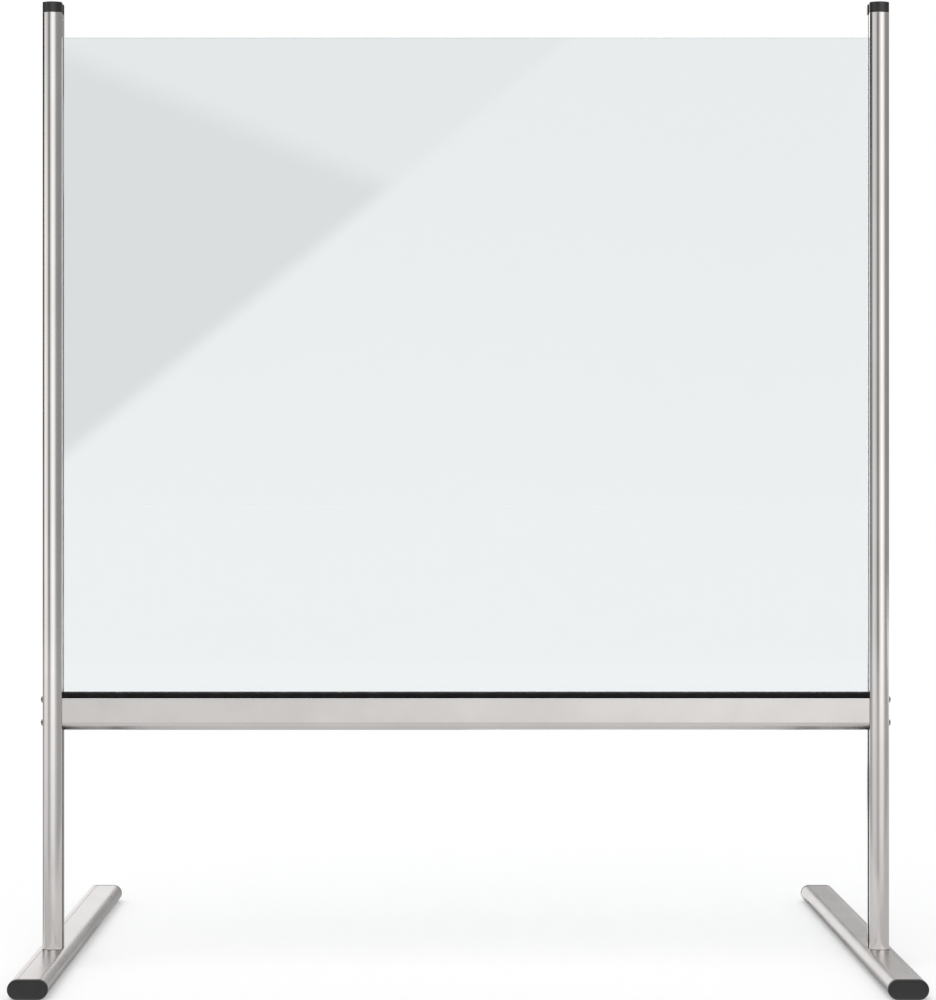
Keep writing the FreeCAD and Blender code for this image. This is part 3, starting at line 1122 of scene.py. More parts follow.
@dataclass(frozen=True)
class Barrel:
    """Section of a post and of its cap: flat flanks, bowed front and back."""

    wide: float = 20.0
    deep: float = 22.0
    bulge: float = 3.3
    groove_half: float = 3.3
    groove_deep: float = 6.2
    lip: float = 0.3

    @property
    def radius(self) -> float:
        """Radius of the bowed front and back."""
        return ((self.wide / 2) ** 2 + self.bulge**2) / (2 * self.bulge)

    def half(self, inset: float, corner: float) -> Loop:
        """Make the front half of the outline, from the left flank to the right one.

        Args:
            inset: How far the outline is drawn in.
            corner: Radius of the rounded corners.

        Returns:
            The points of the half.
        """
        flank = self.wide / 2 - inset
        reach = self.radius - inset
        centre = self.radius - self.deep / 2
        lean = math.asin((flank - corner) / (reach - corner))
        back = (reach - corner) * math.cos(lean) - centre
        bow = [
            (reach * math.sin(turn), centre - reach * math.cos(turn))
            for turn in spread(-lean, lean, BARREL_STEPS)
        ]
        if not corner:
            return bow
        round_off = [
            (flank - corner + corner * math.sin(turn), -back - corner * math.cos(turn))
            for turn in spread(lean, math.pi / 2, CORNER_STEPS)
        ]
        return mirrored(round_off) + bow[1:-1] + round_off

    def outline(self, inset: float) -> Loop:
        """Make the closed outline with sharp corners and no groove, drawn in by an inset."""
        front = self.half(inset, 0.0)
        return front + [(-x, -y) for x, y in front]

    def grooved(self, corner: float) -> Loop:
        """Make the closed outline with the pane's groove in its right flank.

        Args:
            corner: Radius of the rounded corners.

        Returns:
            The loop.
        """
        front = self.half(0.0, corner)
        flank = self.wide / 2
        floor = flank - self.groove_deep
        edge = self.groove_half
        low_lip = arc((flank - self.lip, -edge - self.lip), self.lip, 0.0, 90.0, LIP_STEPS)
        high_lip = [(x, -y) for x, y in reversed(low_lip)]
        groove = [*low_lip, (floor, -edge), (floor, edge), *high_lip]
        return front + groove + [(-x, -y) for x, y in front]


@dataclass
class Upright(Assembly):
    """One post with its cap, its pane channel and the screws that hold the crossbar."""

    side: Side = Side.LEFT
    barrel: Barrel = field(default_factory=Barrel)
    middle_x: float = 430.0
    middle_y: float = -104.0
    foot_top: float = 20.0
    metal_top: float = 994.0
    cap_top: float = 1005.0
    corner: float = 0.8
    wall: float = 1.6
    channel_back: float = 2.4
    channel_half: float = 4.7
    port_pitch: float = 13.0
    port_bore: float = 5.1
    port_boss: float = 7.3
    cap_ease: float = 0.8
    cap_foot_ease: float = 0.15
    cap_steps: int = 6
    tongue_bottom: float = 980.0
    tongue_left: float = -8.3
    tongue_right: float = 2.3
    tongue_half: float = 2.75
    tongue_overlap: float = 0.5
    tongue_tip_ease: float = 0.8
    tongue_root_ease: float = 0.1
    screw_heights: Pair = (255.0, 279.0)
    screw: SocketScrew = SocketScrew(
        thick=4.0, long=40.0, head=8.0, head_high=3.3, head_rim=1.1, socket=2.5, socket_deep=1.9
    )

    def build(self) -> None:
        """Make the post, the cap and the screws, and dress the channel."""
        word, outward = self.side.word, self.side.value
        flank = outward * (self.middle_x + self.barrel.wide / 2)
        inward = (-outward, 0.0, 0.0)
        self.add_piece(
            f"{word}_post_extrusion",
            [Extrusion(self.placed(self.post_section()), Run.ALONG_Z, self.foot_top, self.metal_top)],
            self.finishes.post_aluminium,
            "anodised_aluminium",
            [f"{word}_post"],
        )
        self.add_piece(
            f"{word}_post_plug",
            self.cap_shells(),
            self.finishes.plastic,
            "black_plastic",
            [f"{word}_post_cap"],
        )
        self.add_piece(
            f"{word}_bar_button_screws",
            [
                replace(self.screw, seat=(flank, self.middle_y, height), axis=inward)
                for height in self.screw_heights
            ],
            self.finishes.steel,
            "zinc_steel",
            [f"{word}_bar_screws"],
        )
        self.dress_node(f"{word}_pane_guide", self.finishes.vinyl)

    def placed(self, section: Section) -> Section:
        """Put a section, drawn about its own middle with the groove on its right, in place."""
        outward = self.side.value
        return section.shifted(outward * self.middle_x, self.middle_y, -outward)

    def post_section(self) -> Section:
        """Draw the post's hollow section about its own middle.

        Returns:
            The section.
        """
        ports = [(0.0, sign * self.port_pitch / 2) for sign in (-1, 1)]
        channel_front = self.barrel.wide / 2 - self.wall / 2
        channel = rectangle(self.channel_back, -self.channel_half, channel_front, self.channel_half)
        areas = [
            (self.barrel.grooved(self.corner), Fill.SOLID),
            (self.barrel.outline(self.wall), Fill.HOLLOW),
            (channel, Fill.SOLID),
            *((circle(port, self.port_boss / 2), Fill.SOLID) for port in ports),
            (self.groove_area(), Fill.HOLLOW),
            *((circle(port, self.port_bore / 2), Fill.HOLLOW) for port in ports),
        ]
        return Section(areas)

    def groove_area(self) -> Loop:
        """Draw the groove's own area, which the channel's walls surround.

        Returns:
            The loop.
        """
        flank = self.barrel.wide / 2
        edge = self.barrel.groove_half
        return rectangle(flank - self.barrel.groove_deep, -edge, flank - self.barrel.lip, edge)

    def cap_shells(self) -> list[Extrusion]:
        """Draw the cap's head and the tongue that holds it in the post.

        Returns:
            The two shells.
        """
        head = self.placed(Section([(self.barrel.grooved(self.corner), Fill.SOLID)]))
        stem = rectangle(self.tongue_left, -self.tongue_half, self.tongue_right, self.tongue_half)
        tongue = self.placed(Section([(stem, Fill.SOLID)]))
        tongue_top = self.metal_top + self.tongue_overlap
        head_eases = (self.cap_foot_ease, self.cap_ease, self.cap_steps)
        tongue_eases = (self.tongue_tip_ease, self.tongue_root_ease)
        return [
            Extrusion(head, Run.ALONG_Z, self.metal_top, self.cap_top, *head_eases),
            Extrusion(tongue, Run.ALONG_Z, self.tongue_bottom, tongue_top, *tongue_eases),
        ]


@dataclass
class Crossbar(Assembly):
    """The bar under the pane and the rubber strip on top of it."""

    half_long: float = 420.0
    middle_y: float = -104.0
    underside: float = 247.0
    high: float = 34.5
    half_deep: float = 7.0
    arris: float = 2.0
    side_arc: float = 9.1
    keel_arc: float = 3.0
    wall: float = 1.8
    land_half: float = 5.0
    land_high: float = 1.1
    port_heights: Pair = (8.0, 32.0)
    port_bore: float = 4.1
    port_boss: float = 6.3
    strip_high: float = 5.5
    strip_crown: float = 2.6
    strip_lip: float = 0.35
    slot_half: float = 2.8
    slot_floor: float = 2.3
    recess_half: float = 5.1
    recess_high: float = 1.2
    recess_below: float = -1.0
    strip_end_ease: float = 0.1

    def build(self) -> None:
        """Make the bar and its strip."""
        ends = (-self.half_long, self.half_long)
        eases = (self.strip_end_ease, self.strip_end_ease)
        self.add_piece(
            "crossbar_extrusion",
            [Extrusion(self.bar_section(), Run.ALONG_X, *ends)],
            self.finishes.bar_aluminium,
            "anodised_aluminium",
            ["crossbar"],
        )
        self.add_piece(
            "pane_strip",
            [Extrusion(self.strip_section(), Run.ALONG_X, *ends, *eases)],
            self.finishes.rubber,
            "black_rubber",
            ["pane_seal"],
        )

    def hull(self, inset: float) -> Loop:
        """Draw the bar's rounded underside, from its front side round to its rear one.

        Args:
            inset: How far the outline is drawn in.

        Returns:
            The line of points, which the section closes over the top.
        """
        offset = self.side_arc - self.half_deep
        reach = self.side_arc - self.keel_arc
        lean = math.degrees(math.asin(offset / reach))
        keel_up = self.side_arc - math.sqrt(reach**2 - offset**2)
        keel = arc((0.0, keel_up), self.keel_arc - inset, 270.0 - lean, 270.0 + lean, CORNER_STEPS)
        right = arc((-offset, self.side_arc), self.side_arc - inset, 270.0 + lean, 360.0, OVAL_STEPS)
        return mirrored(right)[:-1] + keel + right[1:]

    def bar_section(self) -> Section:
        """Draw the bar's section with its webs, ports and top land.

        Returns:
            The section in the row frame.
        """
        shoulder = arc(
            (self.half_deep - self.arris, self.high - self.arris), self.arris, 0.0, 90.0, CORNER_STEPS
        )
        land_top = self.high + self.land_high
        land = [(self.land_half, land_top), (-self.land_half, land_top)]
        outer = self.hull(0.0) + shoulder + land + mirrored(shoulder)
        ceiling = self.high - self.wall
        inner_half = self.half_deep - self.wall
        inner = self.hull(self.wall) + [(inner_half, ceiling), (-inner_half, ceiling)]
        web_half = self.half_deep - self.wall / 2
        areas = [(outer, Fill.SOLID), (inner, Fill.HOLLOW)]
        for port in self.port_heights:
            web = rectangle(-web_half, port - self.wall / 2, web_half, port + self.wall / 2)
            areas.append((web, Fill.SOLID))
            areas.append((circle((0.0, port), self.port_boss / 2), Fill.SOLID))
        for port in self.port_heights:
            areas.append((circle((0.0, port), self.port_bore / 2), Fill.HOLLOW))
        return Section(areas).shifted(self.middle_y, self.underside)

    def strip_section(self) -> Section:
        """Draw the rubber strip with its pane slot and the recess over the bar's land.

        Returns:
            The section in the row frame.
        """
        crown_middle = (self.half_deep - self.strip_crown, self.strip_high - self.strip_crown)
        crown = arc(crown_middle, self.strip_crown, 0.0, 90.0, CORNER_STEPS)
        lip_middle = (self.slot_half + self.strip_lip, self.strip_high - self.strip_lip)
        lip = arc(lip_middle, self.strip_lip, 90.0, 180.0, LIP_STEPS)
        right = [(self.half_deep, 0.0), *crown, *lip, (self.slot_half, self.slot_floor)]
        recess = rectangle(-self.recess_half, self.recess_below, self.recess_half, self.recess_high)
        section = Section([(right + mirrored(right), Fill.SOLID), (recess, Fill.HOLLOW)])
        return section.shifted(self.middle_y, self.underside + self.high)


@dataclass
class AcrylicPane(Assembly):
    """The clear sheet, which rides on the body that lifts out."""

    half_wide: float = 425.0
    bottom: float = 284.0
    top: float = 969.0
    front: float = -106.5
    back: float = -101.5
    edge: float = 0.15
    edge_steps: int = 4

    def build(self) -> None:
        """Make the pane with its eased edges."""
        outline = rectangle(-self.half_wide, self.bottom, self.half_wide, self.top)
        section = Section([(outline, Fill.SOLID)])
        eases = (self.edge, self.edge, self.edge_steps)
        self.add_piece(
            "clear_pane",
            [Extrusion(section, Run.ALONG_Y, self.front, self.back, *eases)],
            self.finishes.acrylic,
            "clear_acrylic",
            ["acrylic_pane"],
            PANE_BODY,
        )


@dataclass
class Foot(Assembly):
    """One oval foot with its two end caps, its clamp plate and its screws."""

    side: Side = Side.LEFT
    middle_x: float = 430.0
    half_wide: float = 20.0
    high: float = 20.0
    wall: float = 2.0
    tube_end: float = 245.0
    cap_end: float = 250.0
    plug_end: float = 229.0
    plug_fit: float = 0.1
    plug_wall: float = 2.0
    cap_edge: float = 1.2
    cap_shy: float = 0.1
    cap_root_ease: float = 0.2
    cap_steps: int = 6
    plug_overlap: float = 0.5
    plug_root_ease: float = 0.1
    plug_tip_ease: float = 0.5
    tube_ease: float = 0.4
    drill_ease: float = 0.01
    drill_steps: int = 1
    shoulder_line_wide: float = 0.6
    shoulder_line_deep: float = 0.35
    screw_y: Pair = (-110.5, -97.5)
    screw: SocketScrew = SocketScrew(
        thick=5.0, long=30.0, head=9.5, head_high=3.5, head_rim=1.2, socket=3.0, socket_deep=2.0
    )
    top_hole: float = 5.5
    under_hole: float = 11.0
    plate_underside: float = 15.0

    @property
    def middle(self) -> float:
        """Where the foot's middle lies on the X axis."""
        return self.side.value * self.middle_x

    def build(self) -> None:
        """Make the tube, the caps and the screws, and dress the plate."""
        word = self.side.word
        tube = Section([(self.lined_oval(), Fill.SOLID), (self.oval(self.wall), Fill.HOLLOW)])
        tube_ends = (-self.tube_end, self.tube_end, self.tube_ease, self.tube_ease)
        piece = self.add_piece(
            f"{word}_foot_oval_tube",
            [Extrusion(tube, Run.ALONG_Y, *tube_ends)],
            self.finishes.foot_aluminium,
            "anodised_aluminium",
            [f"{word}_foot_tube"],
        )
        self.drill(piece)
        for end, name in ((-1, "front"), (1, "rear")):
            self.add_piece(
                f"{word}_foot_{name}_plug",
                self.cap_shells(end),
                self.finishes.plastic,
                "black_plastic",
                [f"{word}_foot_{name}_cap"],
            )
        self.add_piece(
            f"{word}_foot_button_screws",
            [replace(self.screw, seat=(self.middle, y, self.plate_underside)) for y in self.screw_y],
            self.finishes.steel,
            "zinc_steel",
            [f"{word}_foot_screws"],
        )
        self.dress_node(f"{word}_clamp_plate", self.finishes.steel)

    def oval(self, inset: float) -> Loop:
        """Draw the foot's oval at its place.

        Args:
            inset: How far the outline is drawn in.

        Returns:
            The loop in the row frame.
        """
        end = self.high / 2
        flat = self.half_wide - end
        right = arc((self.middle + flat, end), end - inset, -90.0, 90.0, OVAL_STEPS)
        left = arc((self.middle - flat, end), end - inset, 90.0, 270.0, OVAL_STEPS)
        return right + left

    def lined_oval(self) -> Loop:
        """Draw the tube's outline with the fine line along its outer shoulder.

        Returns:
            The loop in the row frame.
        """
        outline = self.oval(0.0)
        turn = len(outline) // 2
        outward = self.side.value
        shoulder = outward * (self.middle_x + self.half_wide - self.high / 2)
        inner = shoulder - outward * self.shoulder_line_wide
        floor = ((shoulder + inner) / 2, self.high - self.shoulder_line_deep)
        line = [floor, (inner, self.high)]
        if self.side is Side.LEFT:
            line.reverse()
        return outline[:turn] + line + outline[turn:]

    def cap_shells(self, end: int) -> list[Extrusion]:
        """Draw an end cap's flange and the hollow plug behind it.

        Args:
            end: -1 for the front cap or 1 for the rear one.

        Returns:
            The two shells.
        """
        flange = Section([(self.oval(self.cap_shy), Fill.SOLID)])
        plug_inset = self.wall + self.plug_fit
        plug = Section([
            (self.oval(plug_inset), Fill.SOLID),
            (self.oval(plug_inset + self.plug_wall), Fill.HOLLOW),
        ])
        outer, inner = end * self.cap_end, end * self.tube_end
        root, tip = end * (self.tube_end + self.plug_overlap), end * self.plug_end
        flange_eases = (self.cap_edge, self.cap_root_ease, self.cap_steps)
        plug_eases = (self.plug_root_ease, self.plug_tip_ease)
        shells = [
            Extrusion(flange, Run.ALONG_Y, outer, inner, *flange_eases),
            Extrusion(plug, Run.ALONG_Y, root, tip, *plug_eases),
        ]
        return shells if end < 0 else [shell.turned() for shell in shells]

    def drill(self, piece: bpy.types.Object) -> None:
        """Cut the screw holes into the top wall and the driver holes into the lower one.

        Args:
            piece: The foot's tube.
        """
        eases = (self.drill_ease, self.drill_ease, self.drill_steps)
        drills = []
        for place in self.screw_y:
            for width, low, high in (
                (self.top_hole, self.high - 2 * self.wall, self.high + self.wall),
                (self.under_hole, -self.wall, 2 * self.wall),
            ):
                hole = Section([(circle((self.middle, place), width / 2), Fill.SOLID)])
                drills.append(Extrusion(hole, Run.ALONG_Z, low, high, *eases))
        cutter_mesh = shell_mesh("drill", drills)
        cutter = new_object("drill", cutter_mesh)
        piece.modifiers.clear()
        cut = piece.modifiers.new("holes", "BOOLEAN")
        cut.operation = "DIFFERENCE"
        cut.solver = "EXACT"
        cut.object = cutter
        evaluated = piece.evaluated_get(bpy.context.evaluated_depsgraph_get())
        drilled = bpy.data.meshes.new_from_object(evaluated)
        piece.modifiers.remove(cut)
        bpy.data.objects.remove(cutter)
        bpy.data.meshes.remove(cutter_mesh)
        blank = piece.data
        name = blank.name
        piece.data = drilled
        bpy.data.meshes.remove(blank)
        drilled.name = name
        self.smooth(piece)


# Studio
@dataclass(frozen=True)
class Board:
    """Board that only reflections see, of one even brightness, where 1 is white."""

    name: str
    corners: tuple[Place, ...]
    level: float

    @classmethod
    def lying(cls, name: str, outline: Sequence[Point], level: float) -> "Board":
        """Lay a board just over the floor, by its corners on the floor plan, in metres."""
        return cls(name, tuple((x, y, BOARD_RISE) for x, y in outline), level)


@dataclass(frozen=True)
class Wall:
    """Boards one over another on a line of the floor plan, each with its name, top and level."""

    start: Point
    end: Point
    bands: tuple[tuple[str, float, float], ...]

    def boards(self) -> list[Board]:
        """Stand the boards on one another.

        Returns:
            The boards, from the floor up.
        """
        boards = []
        low = 0.0
        for name, top, level in self.bands:
            corners = ((*self.start, low), (*self.end, low), (*self.end, top), (*self.start, top))
            boards.append(Board(name, corners, level))
            low = top
        return boards


@dataclass(frozen=True)
class Room:
    """Walls and floor round the screen, in metres, which only reflections see."""

    left_rear: Point = (-5.0, 3.0)
    left_corner: Point = (-5.6, -0.1)
    left_turn: Point = (-4.9, -1.5)
    front_left: Point = (-3.6, -4.0)
    front_seam: Point = (1.6, -4.0)
    front_right: Point = (7.0, -4.0)
    back_right: Point = (7.0, 6.0)
    back_seam: Point = (1.15, 6.0)
    back_middle: Point = (0.1, 6.0)
    back_left: Point = (-0.25, 6.0)
    top: float = 3.5
    left_top: float = 3.0
    near_front: float = -0.62
    near_half: float = 0.47
    near_left: Point = (-1.6, -0.62)
    near_right: Point = (3.0, -0.62)
    before_feet: float = -0.252
    foot_outer: float = 0.455
    foot_inner: float = 0.41
    bar_end: float = 0.385
    seam_start: float = 0.388
    seam_front: float = -0.02
    seam_back: float = 0.25
    behind_bar: float = 0.1
    walls: tuple[Wall, ...] = (
        Wall(front_left, front_seam, (("front_left_board", top, 0.15),)),
        Wall(front_seam, front_right, (("front_right_board", top, 0.33),)),
        Wall(
            left_corner,
            left_turn,
            (
                ("left_low_board", 0.55, 0.2),
                ("left_middle_board", 1.5, 0.05),
                ("left_top_board", left_top, 0.0),
            ),
        ),
        Wall(
            left_turn,
            front_left,
            (("left_front_low_board", 1.7, 0.22), ("left_front_top_board", top, 0.0)),
        ),
        Wall(left_corner, left_rear, (("left_rear_board", left_top, 0.03),)),
        Wall(front_right, back_right, (("right_board", top, 0.33),)),
        Wall(back_left, back_middle, (("back_middle_board", top, 0.72),)),
        Wall(
            back_middle,
            back_seam,
            (
                ("back_dark_board", 1.66, 0.25),
                ("back_pale_board", 2.0, 0.7),
                ("back_top_board", top, 0.26),
            ),
        ),
        Wall(
            back_seam,
            back_right,
            (("back_right_low_board", 0.9, 0.3), ("back_right_board", top, 0.53)),
        ),
    )
    floor_boards: tuple[Board, ...] = (
        Board.lying(
            "front_floor_board", (near_left, (-5.0, -2.1), front_left, front_right, near_right), 0.44
        ),
        Board.lying(
            "left_floor_board", ((-0.5, -0.12), (-5.3, -2.05), (-5.6, 0.5), (-0.5, -0.08)), 0.4
        ),
        Board.lying(
            "left_near_board",
            (
                (-near_half, near_front),
                near_left,
                (-foot_outer, -0.12),
                (-foot_outer, before_feet),
                (-near_half, before_feet),
            ),
            0.62,
        ),
        Board.lying(
            "right_near_board",
            (
                (near_half, near_front),
                near_right,
                (3.0, 0.5),
                (foot_outer, -0.08),
                (foot_outer, before_feet),
            ),
            0.58,
        ),
        Board.lying(
            "middle_near_board", rectangle(-near_half, near_front, near_half, before_feet), 0.72
        ),
        Board.lying("bar_floor_board", rectangle(-bar_end, before_feet, bar_end, behind_bar), 0.66),
        Board.lying(
            "left_gap_board", rectangle(-foot_inner, before_feet, -bar_end, behind_bar), 0.32
        ),
        Board.lying(
            "left_back_board",
            ((-foot_inner, behind_bar), (0.0, behind_bar), (1.2, 5.5), (-foot_inner, 5.5)),
            0.4,
        ),
        Board.lying("right_gap_board", rectangle(bar_end, before_feet, foot_inner, seam_front), 0.34),
        Board.lying("right_seam_board", rectangle(seam_start, seam_front, foot_inner, seam_back), 0.3),
    )

    def boards(self) -> list[Board]:
        """List every board, with those of the walls first."""
        return [board for wall in self.walls for board in wall.boards()] + list(self.floor_boards)


@dataclass(frozen=True)
class PostGlow:
    """Soft upright lights that one post mirrors, as levels over the angle from straight ahead."""

    side: Side
    levels: tuple[Pair, ...]

    def places(self, distance: float) -> list[float]:
        """Find how far to the side of the post each level stands, at a distance in front of it."""
        return [math.tan(math.radians(angle)) * distance for angle, _ in self.levels]

    def paint(self, ramp: bpy.types.ColorRamp) -> None:
        """Put the levels on a ramp that runs from the first place to the last, both unlit.

        Args:
            ramp: The ramp.
        """
        places = self.places(1.0)
        left, right = places[0], places[-1]
        for place, (_, level) in list(zip(places, self.levels))[1:-1]:
            band = ramp.elements.new((place - left) / (right - left))
            band.color = (level, level, level, 1.0)
        for end in (0, -1):
            ramp.elements[end].color = BLACK


class Facing(Enum):
    """The way that a lamp shines, as its turn about the X axis."""

    BACK = math.pi / 2
    FRONT = -math.pi / 2
    UP = math.pi


@dataclass
class Studio:
    """Camera, floor, backdrop, lamps and the boards that shape the reflections."""

    camera_place: Place = (-0.034, -2.334, 0.5)
    lens: float = 76.96
    sensor: float = 36.0
    shift: Pair = (0.03485, -0.0124)
    floor_half: float = 60.0
    floor_colour: float = 0.66
    world_level: float = 0.74
    backdrop_level: float = 1.0
    floor_lift: float = 0.33
    sun_aim: Place = (0.25, 0.4, -1.0)
    sun_spread: float = 50.0
    sun_strength: float = 1.0
    post_front: float = -0.104
    post_x: float = 0.43
    glow_distance: float = 0.9
    glow_top: float = 1.8
    glow_floor_share: float = 0.5
    glow_foot_fade: Pair = (0.0, 0.2)
    floor_glow_rise: float = 0.004
    floor_glow_level: float = 0.41
    floor_glow_fade: Pair = (0.2, 0.8)
    room: Room = Room()
    glows: tuple[PostGlow, ...] = (
        PostGlow(
            Side.LEFT,
            (
                (-68.0, 0.0), (-65.0, 0.75), (-59.0, 0.96), (-50.0, 0.88), (-42.0, 0.72), (-37.0, 0.38),
                (-31.0, 0.08), (-24.0, 0.08), (-19.0, 0.55), (-12.0, 0.95), (-4.0, 1.12), (4.0, 1.08),
                (10.0, 0.92), (16.0, 0.5), (24.0, 0.22), (32.0, 0.0),
            ),
        ),
        PostGlow(
            Side.RIGHT,
            (
                (-49.0, 0.0), (-44.0, 0.3), (-36.0, 0.75), (-29.0, 0.68), (-21.0, 0.64), (-14.0, 0.46),
                (-8.0, 0.1), (-1.0, 0.08), (6.0, 0.5), (13.0, 0.9), (21.0, 1.04), (28.0, 1.02),
                (35.0, 0.78), (42.0, 0.4), (50.0, 0.0),
            ),
        ),
    )
    flank_glow_span: Span = (-0.3, 0.36, 0.0, 2.2)
    flank_glow_y: float = 1.5
    flank_glow_level: float = 0.5
    bar_glow_span: Span = (-0.743, 0.743, 0.0, 2.4)
    bar_glow_y: float = -0.62
    bar_glow_levels: Pair = (0.415, 0.715)
    bar_glow_foot: Pair = (0.13, 0.19)
    bar_glow_foot_level: float = 0.2
    foot_glow_span: Span = (-4.5, 4.5, 0.0, 2.4)
    foot_glow_y: float = -2.0
    foot_glow_level: float = 0.8
    pane_glow_span: Span = (-1.6, 1.8, -0.05, 1.85)
    pane_glow_y: float = -3.0
    pane_slant: tuple[Point, Point] = ((-0.918, 0.578), (0.294, 1.577))
    pane_corner_top: tuple[Point, Point] = ((-0.918, 1.536), (-0.149, 1.225))
    pane_slant_soft: float = 0.035
    pane_top_soft: float = 0.05
    pane_low_level: float = 3.6
    pane_high_level: float = 2.85
    pane_level_heights: Pair = (0.2, 1.6)
    pane_above_level: float = 2.0

    def build(
        self,
        posts: dict[Side, list[bpy.types.Object]],
        feet: list[bpy.types.Object],
        bar: bpy.types.Object,
        pane: bpy.types.Object,
    ) -> None:
        """Set up the studio.

        Args:
            posts: Each side's post and cap.
            feet: Both feet's tubes.
            bar: The crossbar.
            pane: The clear pane.
        """
        self.place_camera()
        self.make_world()
        self.make_floor()
        self.make_sun()
        boards = self.room.boards()
        for board in boards:
            self.make_board(board)
        for glow in self.glows:
            self.make_glow(glow, posts[glow.side])
        self.make_flank_lamp(posts[Side.RIGHT])
        self.make_foot_lamp(feet)
        self.make_bar_lamp(bar)
        self.make_pane_lamp(pane)
        LOG.info("studio: %d boards and %d post lights", len(boards), len(self.glows))

    def place_camera(self) -> None:
        """Stand the camera where the photograph was taken from."""
        data = bpy.data.cameras.new("camera")
        data.type = "PERSP"
        data.sensor_fit = "AUTO"
        data.sensor_width = self.sensor
        data.lens = self.lens
        data.shift_x, data.shift_y = self.shift
        camera = new_object("camera", data)
        camera.location = self.camera_place
        camera.rotation_euler = (math.pi / 2, 0.0, 0.0)
        bpy.context.scene.camera = camera

    @staticmethod
    def seen_share(bench: NodeBench) -> Socket:
        """Tell the rays that show a background from those that light the object.

        Args:
            bench: The bench on the world's or the floor's tree.

        Returns:
            1 for camera, glossy and transmission rays, and 0 for the rest.
        """
        rays = bench.add("ShaderNodeLightPath").outputs
        direct = bench.math("MAXIMUM", rays["Is Camera Ray"], rays["Is Glossy Ray"])
        return bench.math("MAXIMUM", direct, rays["Is Transmission Ray"])

    def make_world(self) -> None:
        """Light the object evenly, with a white background behind it."""
        world = bpy.data.worlds.new("studio_world")
        world.use_nodes = True
        bench = NodeBench(world.node_tree)
        lift = self.backdrop_level - self.world_level
        strength = bench.math("MULTIPLY_ADD", self.seen_share(bench), lift, self.world_level)
        bench.feed(world.node_tree.nodes["Background"], WHITE, strength)
        bpy.context.scene.world = world
        bpy.context.scene.view_settings.view_transform = "Standard"

    def make_floor(self) -> None:
        """Lay the pale floor that keeps the object's shadow."""
        half = self.floor_half
        floor = self.flat_object(
            "floor", [(-half, -half, 0.0), (half, -half, 0.0), (half, half, 0.0), (-half, half, 0.0)]
        )
        bench, shine = self.paint(floor, "floor_paint", self.floor_colour)
        bench.give(shine, bench.math("MULTIPLY", self.seen_share(bench), self.floor_lift))

    @staticmethod
    def paint(flat: bpy.types.Object, name: str, grey: float) -> tuple[NodeBench, Socket]:
        """Paint a flat object matt grey, with a white shine whose strength is left to be set.

        Args:
            flat: The object.
            name: The paint's name.
            grey: The paint's colour.

        Returns:
            The bench on the paint's tree, and the input for the shine's strength.
        """
        material = bpy.data.materials.new(name)
        material.use_nodes = True
        bench = NodeBench(material.node_tree)
        inputs = material.node_tree.nodes["Principled BSDF"].inputs
        bench.give(inputs["Base Color"], (grey, grey, grey, 1.0))
        bench.give(inputs["Roughness"], 1.0)
        bench.give(inputs["Specular IOR Level"], 0.0)
        bench.give(inputs["Emission Color"], WHITE)
        flat.data.materials.append(material)
        return bench, inputs["Emission Strength"]

    @staticmethod
    def flat_object(name: str, corners: Sequence[Place]) -> bpy.types.Object:
        """Make a flat object of the stage.

        Args:
            name: The object's name.
            corners: Its corners in metres.

        Returns:
            The object.
        """
        mesh = bpy.data.meshes.new(name)
        mesh.from_pydata(corners, [], [tuple(range(len(corners)))])
        flat = new_object(name, mesh)
        return flat

    def make_sun(self) -> None:
        """Add the broad soft lamp from above, which reaches the whole floor alike."""
        data = bpy.data.lights.new("broad_lamp", "SUN")
        data.energy = self.sun_strength
        data.angle = math.radians(self.sun_spread)
        lamp = new_object("broad_lamp", data)
        lamp.rotation_euler = Vector(self.sun_aim).to_track_quat("-Z", "Y").to_euler()
        lamp.visible_glossy = False

    def make_board(self, board: Board) -> None:
        """Put up a board that only reflections see.

        Args:
            board: The board.
        """
        panel = self.flat_object(board.name, board.corners)
        bench, shine = self.paint(panel, board.name, 0.0)
        bench.give(shine, board.level)
        panel.visible_camera = False
        panel.visible_diffuse = False
        panel.visible_transmission = False
        panel.visible_shadow = False

    def upright_lamp(
        self,
        name: str,
        span: Span,
        forward: float,
        receivers: Sequence[bpy.types.Object],
        facing: Facing = Facing.BACK,
    ) -> bpy.types.Light:
        """Stand a lamp on end for some pieces to mirror.

        Args:
            name: The lamp's name.
            span: Its left, right, lower and upper edges, in metres.
            forward: Where it stands on the Y axis.
            receivers: The pieces that mirror it.
            facing: The way that it shines.

        Returns:
            The lamp's data.
        """
        left, right, low, high = span
        middle = ((left + right) / 2, forward, (low + high) / 2)
        return self.mirrored_lamp(name, middle, (right - left, high - low), receivers, facing)

    @staticmethod
    def mirrored_lamp(
        name: str,
        middle: Place,
        size: Pair,
        receivers: Sequence[bpy.types.Object],
        facing: Facing,
    ) -> bpy.types.Light:
        """Place a lamp that only the given pieces mirror.

        Args:
            name: The lamp's name.
            middle: Its middle, in metres.
            size: Its width and its height or depth.
            receivers: The pieces that mirror it.
            facing: The way that it shines.

        Returns:
            The lamp's data, which gives a radiance of 1 where its colour is white.
        """
        data = bpy.data.lights.new(name, "AREA")
        data.shape = "RECTANGLE"
        data.size, data.size_y = size
        data.energy = math.pi * data.size * data.size_y
        data.use_nodes = True
        lamp = new_object(name, data)
        lamp.location = middle
        lamp.rotation_euler = (facing.value, 0.0, 0.0)
        lamp.visible_camera = False
        lamp.visible_diffuse = False
        lamp.visible_transmission = False
        lit = bpy.data.collections.new(name + "_receivers")
        for receiver in receivers:
            lit.objects.link(receiver)
        lamp.light_linking.receiver_collection = lit
        return data

